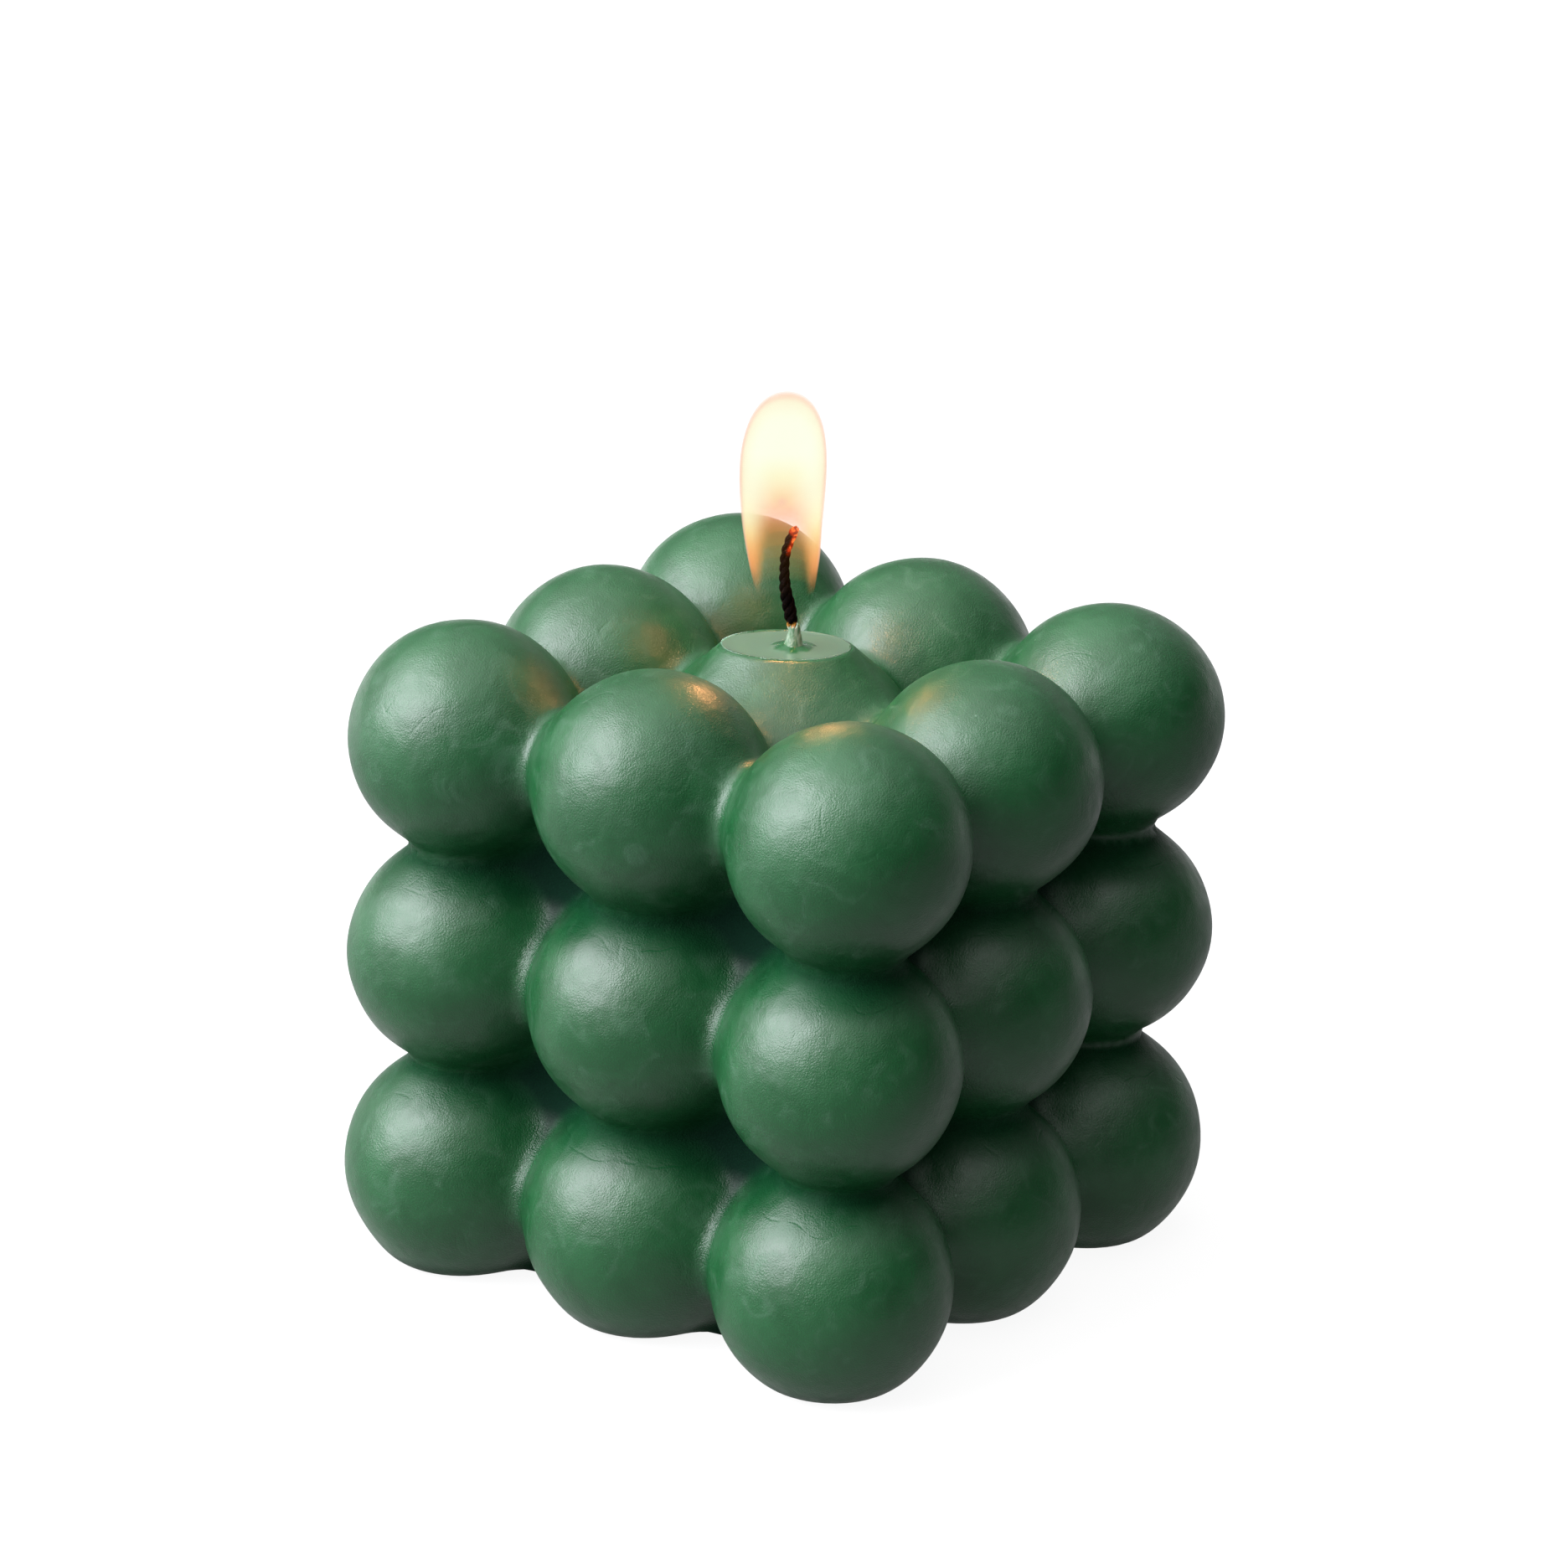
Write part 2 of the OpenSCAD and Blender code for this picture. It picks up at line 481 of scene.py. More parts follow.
@dataclass(frozen=True)
class WaxFinish:
    """Satin green candle wax: a little translucent, fine-grained, with bloom, folds, hairlines and specks,
    and painted shade in its webs, necks and seams.
    """

    deep: tuple[float, float, float] = (0.003, 0.042, 0.011)
    pale: tuple[float, float, float] = (0.006, 0.054, 0.016)
    bloom: tuple[float, float, float] = (0.026, 0.078, 0.040)
    # Dark colour of the painted shade in the webs and necks and in the seams between layers
    hollow_shade: tuple[float, float, float] = (0.003, 0.014, 0.008)
    speck: tuple[float, float, float] = (0.09, 0.16, 0.11)
    # Roughness of plain wax, what thin and thick bloom add to it, what the necks add, and its share when wet
    roughness: float = 0.34
    thin_bloom: float = -0.04
    thick_bloom: float = 0.09
    neck_roughness: float = 0.2
    wet_share: float = 0.4
    # Gloss on the balls, deep in the necks, and its share in the seams between layers, where the shade is
    # painted
    gloss: float = 0.5
    neck_gloss: float = 0.2
    seam_share: float = 0.05
    # Share of the painted shade's dark colour in the seams between layers
    seam_shade: float = 0.55
    ior: float = 1.45
    translucency: float = 0.12
    scatter_hue: tuple[float, float, float] = (0.45, 1.0, 0.55)
    scatter_length: float = 1.0 * MM
    veil_size: float = 3.1 * MM
    mottle_size: float = 6.0 * MM
    speck_spacing: float = 2.6 * MM
    # Specks show in the cells whose random number is above this
    speck_cutoff: float = 0.66
    grain_size: float = 0.15 * MM
    grain_depth: float = 0.040 * MM
    neck_grain: float = 2.6
    dent_size: float = 1.7 * MM
    dent_depth: float = 0.07 * MM
    line_depth: float = 0.020 * MM
    hairline_width: float = 0.11 * MM
    hairline_strength: float = 0.75
    # Folds ring each column at this reach from its middle, and up to the waver further out
    fold_reach: float = 4.9 * MM
    fold_waver: float = 3.2 * MM
    fold_width: float = 0.14 * MM
    fold_strength: float = 1.2
    # Heights above a ball's middle over which the folds come in and go out again
    fold_start: tuple[float, float] = (5.0 * MM, 6.5 * MM)
    fold_stop: tuple[float, float] = (7.9 * MM, 8.6 * MM)
    # Hairlines: size of the noise and the level that each set follows, and how far they are drawn out upwards
    hairline_sets: tuple[tuple[float, float], ...] = ((5.2 * MM, 0.47), (8.0 * MM, 0.55))
    hairline_stretch: float = 0.42

    def material(self, lattice: "Lattice") -> bpy.types.Material:
        """Builds the finish.

        Args:
            lattice: The grid of balls, whose necks carry the folds.

        Returns:
            The material.
        """
        made, g = new_material("wax")
        point = g.object_point()
        off_ball = g.attribute("off_ball")
        shaded_seam = g.attribute("shaded_seam")
        wet = g.attribute("wet")
        veil = g.cloud(point, self.veil_size, 5.0, 1.4)
        colour = self.colour(g, point, veil)
        # Painted shade: the colour darkens off the balls, in the webs and necks, and in the seams between
        # layers
        colour = g.blend(g.spread(off_ball, 0.15, 1.7), colour, rgba(self.hollow_shade))
        colour = g.blend(g.math("MULTIPLY", shaded_seam, self.seam_shade), colour, rgba(self.hollow_shade))
        thin, thick = self.roughness + self.thin_bloom, self.roughness + self.thick_bloom
        roughness = g.spread(veil, 0.35, 0.75, thin, thick)
        roughness = g.math("ADD", roughness, g.spread(off_ball, 0.2, 1.7, 0.0, self.neck_roughness))
        roughness = g.math("MULTIPLY", roughness, g.spread(wet, 0.0, 1.0, 1.0, self.wet_share))
        gloss = g.spread(off_ball, 0.25, 1.7, self.gloss, self.neck_gloss)
        gloss = g.math("MULTIPLY", gloss, g.spread(shaded_seam, 0.0, 1.0, 1.0, self.seam_share))
        shader = g.node(
            "BsdfPrincipled", {"subsurface_method": "RANDOM_WALK"},
            Base_Color=colour, Roughness=roughness, Normal=self.relief(g, point, lattice, off_ball, wet),
        )
        shader.inputs["IOR"].default_value = self.ior
        g.feed(shader.inputs["Specular IOR Level"], gloss)
        g.scatter(shader, self.translucency, self.scatter_hue, self.scatter_length)
        g.end("OutputMaterial", shader.outputs["BSDF"])
        return made

    def colour(self, g: Graph, point: Source, veil: Source) -> bpy.types.NodeSocket:
        """Lays mottling, bloom and small pale specks over each other.

        Args:
            g: The node tree.
            point: Place on the piece.
            veil: Noise that says where the bloom is.

        Returns:
            The colour.
        """
        mottle = g.cloud(point, self.mottle_size, 3.0, 0.6)
        colour = g.blend(g.spread(mottle, 0.35, 0.68), rgba(self.deep), rgba(self.pale))
        colour = g.blend(g.spread(veil, 0.52, 0.78, 0.0, 0.5), colour, rgba(self.bloom))
        cells = g.node("TexVoronoi", Vector=point, Scale=1.0 / self.speck_spacing)
        dots = g.spread(cells.outputs["Distance"], 0.02, 0.05, 0.5, 0.0)
        chosen = g.node("SeparateColor", Color=cells.outputs["Color"]).outputs["Red"]
        dots = g.math("MULTIPLY", dots, g.math("GREATER_THAN", chosen, self.speck_cutoff))
        return g.blend(dots, colour, rgba(self.speck))

    def relief(
        self, g: Graph, point: Source, lattice: "Lattice", off_ball: Source, wet: Source
    ) -> bpy.types.NodeSocket:
        """Presses grain, soft dents, hairlines and folds round the necks into the surface.

        Args:
            g: The node tree.
            point: Place on the piece.
            lattice: The grid of balls.
            off_ball: Distance off the balls, where the grain is coarser.
            wet: Share of liquid wax on the surface, which hides the grain.

        Returns:
            The bent normal.
        """
        grain = g.cloud(point, self.grain_size, 2.0)
        patchy = g.spread(g.cloud(point, 4.0 * MM, 2.0), 0.3, 0.7, 0.6, 1.2)
        patchy = g.math("MULTIPLY", patchy, g.spread(off_ball, 0.1, 0.7, 1.0, self.neck_grain))
        grain = g.math("MULTIPLY", grain, g.math("MULTIPLY", patchy, g.math("SUBTRACT", 1.0, wet)))
        grained = g.bump(self.grain_depth, grain)
        dented = g.bump(self.dent_depth, g.cloud(point, self.dent_size, 1.0), grained)
        marks = g.math("ADD", self.hairlines(g, point), self.folds(g, point, lattice))
        return g.bump(self.line_depth, marks, dented)

    def hairlines(self, g: Graph, point: Source) -> bpy.types.NodeSocket:
        """Draws long, curved hairline scratches along the level lines of stretched, smooth noise.

        Args:
            g: The node tree.
            point: Place on the piece.

        Returns:
            The relief's height, 0 or less.
        """
        tall = g.node("Mapping", Vector=point, Scale=(1.0, 1.0, self.hairline_stretch))
        total = 0.0
        for size, level in self.hairline_sets:
            swell = g.cloud(tall.outputs["Vector"], size, 0.0)
            off_line = g.math("ABSOLUTE", g.math("SUBTRACT", swell, level))
            line = g.spread(off_line, 0.0, self.hairline_width / size, -self.hairline_strength, 0.0)
            total = g.math("ADD", total, line)
        shown = g.spread(g.cloud(point, 3.6 * MM, 2.0), 0.56, 0.64)
        shown = g.math("MULTIPLY", shown, g.spread(g.cloud(point, 14.0 * MM, 0.0), 0.42, 0.55, 0.25, 1.0))
        return g.math("MULTIPLY", total, shown)

    def folds(self, g: Graph, point: Source, lattice: "Lattice") -> bpy.types.NodeSocket:
        """Draws the short folds that the mould left round the tops of the lower balls.

        Args:
            g: The node tree.
            point: Place on the piece.
            lattice: The grid of balls.

        Returns:
            The relief's height, 0 or less.
        """
        place = g.node("SeparateXYZ", Vector=point)
        waver = g.cloud(point, 4.2 * MM, 1.0)
        reach = 0.0
        for axis in ("X", "Y"):
            along = g.math("ADD", place.outputs[axis], 2 * lattice.pitch)
            from_column = g.math("PINGPONG", along, lattice.pitch / 2)
            reach = g.math("ADD", reach, g.math("POWER", from_column, 2.0))
        reach = g.math("SQRT", reach)
        ring = g.math("ADD", self.fold_reach, g.math("MULTIPLY", waver, self.fold_waver))
        off_ring = g.math("ABSOLUTE", g.math("SUBTRACT", reach, ring))
        line = g.spread(off_ring, 0.0, self.fold_width, -self.fold_strength, 0.0)
        shown = g.spread(g.cloud(point, 2.8 * MM, 1.0), 0.46, 0.56)
        up = g.math("SUBTRACT", place.outputs["Z"], lattice.bottom_z)
        from_middle = g.math("WRAP", up, lattice.layer_pitch, 0.0)
        upper = g.spread(from_middle, *self.fold_start)
        upper = g.math("MULTIPLY", upper, g.spread(from_middle, *self.fold_stop, 1.0, 0.0))
        below_top = g.math("LESS_THAN", place.outputs["Z"], lattice.top_z - 4 * MM)
        return g.math("MULTIPLY", g.math("MULTIPLY", line, shown), g.math("MULTIPLY", upper, below_top))


@dataclass(frozen=True)
class LiquidFinish:
    """Clear green liquid wax over the green bowl of its dish, with a painted dark reflection round the wick.
    """

    rim: tuple[float, float, float] = (0.048, 0.098, 0.066)
    # Dark colour of the painted reflection round the wick and of the painted ring behind it
    middle: tuple[float, float, float] = (0.006, 0.055, 0.016)
    roughness: float = 0.04
    ior: float = 1.44
    translucency: float = 0.3
    scatter_hue: tuple[float, float, float] = (0.5, 1.0, 0.6)
    scatter_length: float = 1.5 * MM
    # The painted dark reflection round the wick, with its ragged edge, and the painted dark ring behind it
    patch_inner: float = 2.1 * MM
    patch_outer: float = 2.7 * MM
    patch_waver: float = 1.8 * MM
    ring_reach: float = 1.8 * MM

    def material(self) -> bpy.types.Material:
        """Builds the finish.

        Returns:
            The material.
        """
        made, g = new_material("liquid_wax")
        point = g.object_point()
        level = g.node("VectorMath", {"operation": "MULTIPLY"}, Vector=point)
        level.inputs[1].default_value = (1.0, 1.0, 0.0)
        reach = g.length(level.outputs["Vector"])
        # Painted dark reflection round the wick, and a painted dark ring behind it
        ragged = g.math("ADD", reach, g.math("MULTIPLY", g.cloud(point, 1.6 * MM, 2.0), self.patch_waver))
        dark_reflection = g.spread(ragged, self.patch_inner, self.patch_outer)
        colour = g.blend(dark_reflection, rgba(self.middle), rgba(self.rim))
        off_ring = g.math("ABSOLUTE", g.math("SUBTRACT", reach, self.ring_reach))
        ring = g.spread(off_ring, 0.2 * MM, 0.4 * MM, 1.0, 0.0)
        ring = g.math("MULTIPLY", ring, g.spread(g.dot(point, AWAY), 0.5 * MM, 0.9 * MM))
        colour = g.blend(ring, colour, rgba(self.middle))
        shader = g.node("BsdfPrincipled", Base_Color=colour, Roughness=self.roughness)
        shader.inputs["IOR"].default_value = self.ior
        g.scatter(shader, self.translucency, self.scatter_hue, self.scatter_length)
        g.end("OutputMaterial", shader.outputs["BSDF"])
        return made


@dataclass(frozen=True)
class CottonFinish:
    """A cotton wick: charred black, scorched brown lower down, glowing at its tip."""

    char: tuple[float, float, float] = (0.0015, 0.001, 0.001)
    char_edge: tuple[float, float, float] = (0.010, 0.004, 0.0025)
    scorch: tuple[float, float, float] = (0.42, 0.18, 0.035)
    cotton: tuple[float, float, float] = (0.42, 0.44, 0.34)
    ember: tuple[float, float, float] = (0.8, 0.05, 0.01)
    ember_hot: tuple[float, float, float] = (1.0, 0.17, 0.03)
    ember_strength: float = 1.3
    roughness: float = 0.85
    gloss: float = 0.02
    fuzz_size: float = 0.12 * MM
    fuzz_depth: float = 0.09 * MM
    # How far the char's edge strays up and down
    ragged_reach: float = 0.9 * MM

    def material(self, char_z: float) -> bpy.types.Material:
        """Builds the finish.

        Args:
            char_z: Height above which the cord is charred.

        Returns:
            The material.
        """
        made, g = new_material("wick_cotton")
        point = g.object_point()
        height = g.node("SeparateXYZ", Vector=point).outputs["Z"]
        ragged = g.cloud(point, 0.35 * MM, 3.0)
        stray = g.math("MULTIPLY", g.math("SUBTRACT", ragged, 0.5), self.ragged_reach)
        level = g.math("ADD", height, stray)
        fine = g.cloud(point, self.fuzz_size, 4.0)
        char = g.blend(g.spread(fine, 0.45, 0.75), rgba(self.char), rgba(self.char_edge))
        scorched = g.spread(level, char_z - 0.5 * MM, char_z - 0.1 * MM)
        scorched = g.blend(scorched, rgba(self.cotton), rgba(self.scorch))
        colour = g.blend(g.spread(level, char_z - 0.15 * MM, char_z + 0.25 * MM), scorched, char)
        patchy = g.spread(g.cloud(point, 0.4 * MM, 3.0), 0.35, 0.6, 0.25, 1.0)
        heat = g.math("MULTIPLY", g.attribute("ember"), patchy)
        glow = g.blend(g.spread(heat, 0.4, 1.0), rgba(self.ember), rgba(self.ember_hot))
        fuzzy = g.bump(self.fuzz_depth, fine)
        shader = g.node("BsdfPrincipled", Base_Color=colour, Roughness=self.roughness, Normal=fuzzy)
        shader.inputs["Specular IOR Level"].default_value = self.gloss
        g.feed(shader.inputs["Emission Color"], glow)
        g.feed(shader.inputs["Emission Strength"], g.math("MULTIPLY", heat, self.ember_strength))
        g.end("OutputMaterial", shader.outputs["BSDF"])
        return made


@dataclass(frozen=True)
class GlowFinish:
    """Glowing gas: each layer of the flame lets through what its attributes say."""

    def material(self) -> bpy.types.Material:
        """Builds the finish.

        Returns:
            The material.
        """
        made, g = new_material("flame_glow")
        hue = g.node("Attribute", {"attribute_name": "glow_hue"})
        share = g.node("Attribute", {"attribute_name": "glow_share"})
        light = g.node("Emission", Color=hue.outputs["Color"], Strength=1.0)
        clear = g.node("BsdfTransparent")
        mixed = g.node("MixShader", Fac=share.outputs["Fac"])
        g.feed(mixed.inputs[1], clear.outputs[0])
        g.feed(mixed.inputs[2], light.outputs[0])
        g.end("OutputMaterial", mixed.outputs[0])
        return made


@dataclass
class Lattice:
    """The cube of balls: their places and the sizes that they share."""

    ball_r: float = 10.2 * MM
    base_cut: float = 1.4 * MM
    pitch: float = 0.0
    layer_pitch: float = 0.0
    centres: list[np.ndarray] = field(default_factory=list)

    @classmethod
    def from_frame(cls) -> "Lattice":
        """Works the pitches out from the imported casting's box.

        Returns:
            The grid, with all its balls' middles apart from the hidden one.
        """
        low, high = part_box("candle_body")
        made = cls()
        made.pitch = (high.x - low.x) / 2 - made.ball_r
        made.layer_pitch = (high.z - 2 * made.ball_r + made.base_cut) / 2
        made.centres = [
            made.centre(i, j, k)
            for i in (-1, 0, 1) for j in (-1, 0, 1) for k in (0, 1, 2)
            if (i, j, k) != (0, 0, 1)
        ]
        return made

    def centre(self, i: int, j: int, k: int) -> np.ndarray:
        """Returns the centre of the ball in column i, j, from -1 to 1, and layer k, from 0 to 2."""
        return np.array([i * self.pitch, j * self.pitch, self.ball_r - self.base_cut + k * self.layer_pitch])

    @property
    def bottom_z(self) -> float:
        """Height of the bottom layer's centres."""
        return self.ball_r - self.base_cut

    @property
    def top_z(self) -> float:
        """Height of the top layer's centres."""
        return self.ball_r - self.base_cut + 2 * self.layer_pitch


@dataclass
class Melt:
    """The melted top of the middle ball: an oval rim, a slumped shoulder and a shallow dish."""

    rim_z: float = 55.4 * MM
    half_width: float = 5.75 * MM
    half_depth: float = 4.15 * MM
    left_of_wick: float = 0.65 * MM
    behind_wick: float = 0.72 * MM
    shoulder_slope: float = 43.0
    lip_width: float = 0.25 * MM
    dish_depth: float = 1.3 * MM
    pool_drop: float = 0.22 * MM
    # How softly the shoulder meets the ball, the rim its flat top, and the bowl the lip
    shoulder_blend: float = 0.5 * MM
    rim_blend: float = 0.09 * MM
    lip_blend: float = 0.06 * MM
    # A bowl's distances are taken as a little shorter, and no deeper than this
    bowl_share: float = 0.9
    bowl_limit: float = 3 * MM

    @property
    def middle(self) -> np.ndarray:
        """Middle of the oval, at the rim's height."""
        return AWAY * self.behind_wick - RIGHTWARDS * self.left_of_wick + np.array([0, 0, self.rim_z])

    @property
    def pool_z(self) -> float:
        """Height of the liquid's level surface."""
        return self.rim_z - self.pool_drop

    def reach(self, points: np.ndarray, inset: float = 0.0) -> np.ndarray:
        """Measures how far points lie outside the oval, level with it.

        Args:
            points: Rows of x, y and z.
            inset: Distance by which the oval is drawn in.

        Returns:
            Distances, negative inside the oval.
        """
        away = points - self.middle
        a, b = self.half_width - inset, self.half_depth - inset
        u, v = away @ RIGHTWARDS / a, away @ AWAY / b
        share = np.sqrt(u * u + v * v) + 1e-9
        steepness = np.sqrt((u / a) ** 2 + (v / b) ** 2) / share
        return (share - 1.0) / np.maximum(steepness, 0.5 / a)

    def distance(self, points: np.ndarray, ball: np.ndarray) -> np.ndarray:
        """Carves the melted form out of the ball's distance field.

        Args:
            points: Rows of x, y and z.
            ball: Distances to the whole ball.

        Returns:
            Distances to the melted ball.
        """
        slope = math.radians(self.shoulder_slope)
        up = points[:, 2] - self.rim_z
        shoulder = up * math.cos(slope) + self.reach(points) * math.sin(slope)
        outside = smooth_max([ball, shoulder], self.shoulder_blend)
        closed = smooth_max([outside, up], self.rim_blend)
        inner = np.clip(1.0 + self.reach(points, self.lip_width) / self.half_depth, 0.0, 2.0)
        bowl_z = self.rim_z - self.dish_depth * np.clip(1.0 - inner ** 4, 0.0, 1.0)
        bowl = np.where(inner < 1.0, bowl_z - points[:, 2], self.reach(points, self.lip_width))
        carved = -np.maximum(bowl, -self.bowl_limit) * self.bowl_share
        return smooth_max([closed, carved], self.lip_blend)


@dataclass
class WaxCasting:
    """The one casting of wax: balls, filleted waists, webs, flat base and melted top."""

    lattice: Lattice
    melt: Melt
    finish: WaxFinish = field(default_factory=WaxFinish)
    web_inset: float = 0.5 * MM
    fillet: float = 1.15 * MM
    base_edge: float = 0.28 * MM
    voxel: float = 0.66 * MM
    swell: float = 0.12 * MM
    swell_size: float = 6.5 * MM
    waist_r: float = 5 * MM
    # How much nearer the surface is for each degree below a ball's middle, in the outermost column
    draft: float = 0.0155 * MM
    # The draft's shares in the columns: all of them, what is more on the right, and what is more on the left
    draft_shares: tuple[float, float, float] = (0.25, 0.75, 0.2)
    # The columns, by their place across, over which the right and left shares come in
    outer_columns: tuple[float, float] = (0.9, 1.35)
    # Degrees: where the draft sets in, how softly, where it ends, and where it takes nothing off
    draft_start: float = -8.0
    draft_ease: float = 30.0
    draft_end: tuple[float, float] = (90.0, 55.0)
    draft_zero: float = 12.0
    # How far the bottom balls bulge at their foot: all of them, and what is more away from the middle column
    foot: float = 0.10 * MM
    outer_foot: float = 0.18 * MM
    # Degrees below the middle over which that bulge comes in
    foot_angles: tuple[float, float] = (25.0, 65.0)
    # The blank: how far its melted ball lies under the rim, and its core under the top layer
    cap_drop: float = 0.3 * MM
    core_drop: float = 2 * MM
    # Distances off the balls, and up or down from the layers' seams, over which a seam comes in and goes out
    seam_start: tuple[float, float] = (-0.3 * MM, 0.45 * MM)
    seam_stop: tuple[float, float] = (1.8 * MM, 4.0 * MM)
    # Distances from the middle of the lip over which it stops being wet
    wet_stop: tuple[float, float] = (0.12 * MM, 0.4 * MM)

    def blank(self) -> bpy.types.Mesh:
        """Fuses plain balls, waists and a core into one even mesh.

        Returns:
            The mesh, near the final surface.
        """
        bm = bmesh.new()
        ball_r, pitch = self.lattice.ball_r, self.lattice.pitch
        for centre in self.lattice.centres:
            place = Matrix.Translation(centre)
            ball = bmesh.ops.create_icosphere(bm, subdivisions=4, radius=ball_r, matrix=place)
            if self.is_melted(centre):
                for vert in ball["verts"]:
                    vert.co.z = min(vert.co.z, self.melt.rim_z - self.cap_drop)
        core = 2 * (pitch - self.web_inset)
        core_h = self.lattice.top_z
        place = Matrix.Translation((0, 0, core_h / 2 - self.core_drop))
        place = place @ Matrix.Diagonal((core, core, core_h, 1))
        bmesh.ops.create_cube(bm, size=1.0, matrix=place)
        self.add_waists(bm)
        return self.even(to_mesh(bm, "blank"))

    def is_melted(self, centre: np.ndarray) -> bool:
        """True for the middle ball of the top layer."""
        return centre[2] > self.lattice.top_z - MM and abs(centre[0]) + abs(centre[1]) < MM

    def add_waists(self, bm: bmesh.types.BMesh) -> None:
        """Adds a short cylinder between each two neighbouring balls.

        Args:
            bm: The mesh that grows.
        """
        centres = self.lattice.centres
        for n, first in enumerate(centres):
            for second in centres[n + 1:]:
                gap = Vector(second - first)
                if gap.length > self.lattice.pitch * 1.1:
                    continue
                turn = gap.to_track_quat("Z", "Y").to_matrix().to_4x4()
                place = Matrix.Translation((first + second) / 2) @ turn
                bmesh.ops.create_cone(
                    bm, cap_ends=True, segments=32, radius1=self.waist_r, radius2=self.waist_r,
                    depth=self.lattice.ball_r, matrix=place,
                )

    def even(self, mesh: bpy.types.Mesh) -> bpy.types.Mesh:
        """Remeshes overlapping shells into one skin of even quads.

        Args:
            mesh: The overlapping shells.

        Returns:
            The skin.
        """
        scratch = new_object("scratch", mesh)
        remesh = scratch.modifiers.new("remesh", "REMESH")
        remesh.mode = "VOXEL"
        remesh.voxel_size = self.voxel
        return take_mesh(scratch)

    def ball_distance(self, points: np.ndarray, centre: np.ndarray) -> np.ndarray:
        """Measures the distance to one ball, which slumped a little as the wax set.

        Args:
            points: Rows of x, y and z.
            centre: The ball's middle.

        Returns:
            Distances, negative in the ball.
        """
        away = points - centre
        far = np.linalg.norm(away, axis=1) + 1e-9
        below = np.degrees(np.arcsin(np.clip(-away[:, 2] / far, -1, 1)))
        across = (centre @ RIGHTWARDS) / self.lattice.pitch
        if centre[2] < self.lattice.ball_r:
            foot = self.foot + self.outer_foot * min(abs(across), 1.4)
            return far - self.lattice.ball_r - foot * smooth_step(*self.foot_angles, below)
        all_round, on_right, on_left = self.draft_shares
        share = all_round + on_right * smooth_step(*self.outer_columns, across)
        share += on_left * smooth_step(*self.outer_columns, -across)
        slack = self.draft_ease * np.log1p(np.exp((below - self.draft_start) / self.draft_ease))
        slack *= smooth_step(*self.draft_end, below)
        return far - self.lattice.ball_r + self.draft * share * (slack - self.draft_zero)

    def field_at(self, points: np.ndarray) -> np.ndarray:
        """Measures the smooth distance to the casting's surface.

        Args:
            points: Rows of x, y and z.

        Returns:
            Distances, negative in the wax.
        """
        shapes = []
        for centre in self.lattice.centres:
            ball = self.ball_distance(points, centre)
            if self.is_melted(centre):
                ball = self.melt.distance(points, ball)
            shapes.append(ball)
        half = self.lattice.pitch - self.web_inset
        core_top = self.lattice.top_z - self.web_inset
        walls = np.stack([np.abs(points[:, 0]) - half, np.abs(points[:, 1]) - half, points[:, 2] - core_top])
        outside = np.linalg.norm(np.maximum(walls, 0.0), axis=0)
        shapes.append(outside + np.minimum(walls.max(axis=0), 0.0))
        body = smooth_min(shapes, self.fillet)
        return smooth_max([body, -points[:, 2]], self.base_edge)

    def settle(self, points: np.ndarray, extra: np.ndarray, rounds: int = 5) -> np.ndarray:
        """Moves points onto the casting's surface.

        Args:
            points: Rows of x, y and z near the surface.
            extra: How far outside the smooth surface each point is to lie.
            rounds: Steps of the search.

        Returns:
            The moved points.
        """
        step = 0.01 * MM
        for _ in range(rounds):
            value = self.field_at(points) - extra
            slope = np.stack(
                [self.field_at(points + offset) - value - extra for offset in np.eye(3) * step], axis=1
            ) / step
            length = np.maximum((slope ** 2).sum(axis=1, keepdims=True), 0.2)
            move = value[:, None] * slope / length
            reach = np.linalg.norm(move, axis=1, keepdims=True)
            points = points - move * np.minimum(1.0, self.voxel / np.maximum(reach, 1e-12))
        return points

    def refine(self, mesh: bpy.types.Mesh) -> None:
        """Splits the faces round the melted rim, where the form is finest.

        Args:
            mesh: The casting's mesh.
        """
        bm = bmesh.new()
        bm.from_mesh(mesh)
        middle = Vector(self.melt.middle)
        for width, drop in ((7.6 * MM, 2.2 * MM), (6.9 * MM, 1.6 * MM)):
            near = [
                f for f in bm.faces
                if (f.calc_center_median() - middle).xy.length < width
                and f.calc_center_median().z > middle.z - drop
            ]
            edges = list({e for f in near for e in f.edges})
            bmesh.ops.subdivide_edges(bm, edges=edges, cuts=1, use_grid_fill=True)
        middles = np.array([f.calc_center_median() for f in bm.faces])
        on_lip = np.abs(self.melt.reach(middles, self.melt.lip_width * 0.5)) < 0.4 * MM
        on_lip &= middles[:, 2] > middle.z - 0.6 * MM
        bm.faces.ensure_lookup_table()
        edges = list({e for n in np.flatnonzero(on_lip) for e in bm.faces[n].edges})
        bmesh.ops.subdivide_edges(bm, edges=edges, cuts=1, use_grid_fill=True)
        bm.to_mesh(mesh)
        bm.free()

    def paint(self, mesh: bpy.types.Mesh, points: np.ndarray) -> None:
        """Stores how far each vertex lies off the balls and in the seams between layers, where shade is
        painted, and on the wet rim.

        Args:
            mesh: The finished mesh.
            points: Its vertices.
        """
        nearest = np.full(len(points), np.inf)
        for centre in self.lattice.centres:
            nearest = np.minimum(nearest, np.linalg.norm(points - centre, axis=1) - self.lattice.ball_r)
        on_top = smooth_step(self.lattice.top_z - 2 * MM, self.lattice.top_z + 4 * MM, points[:, 2])
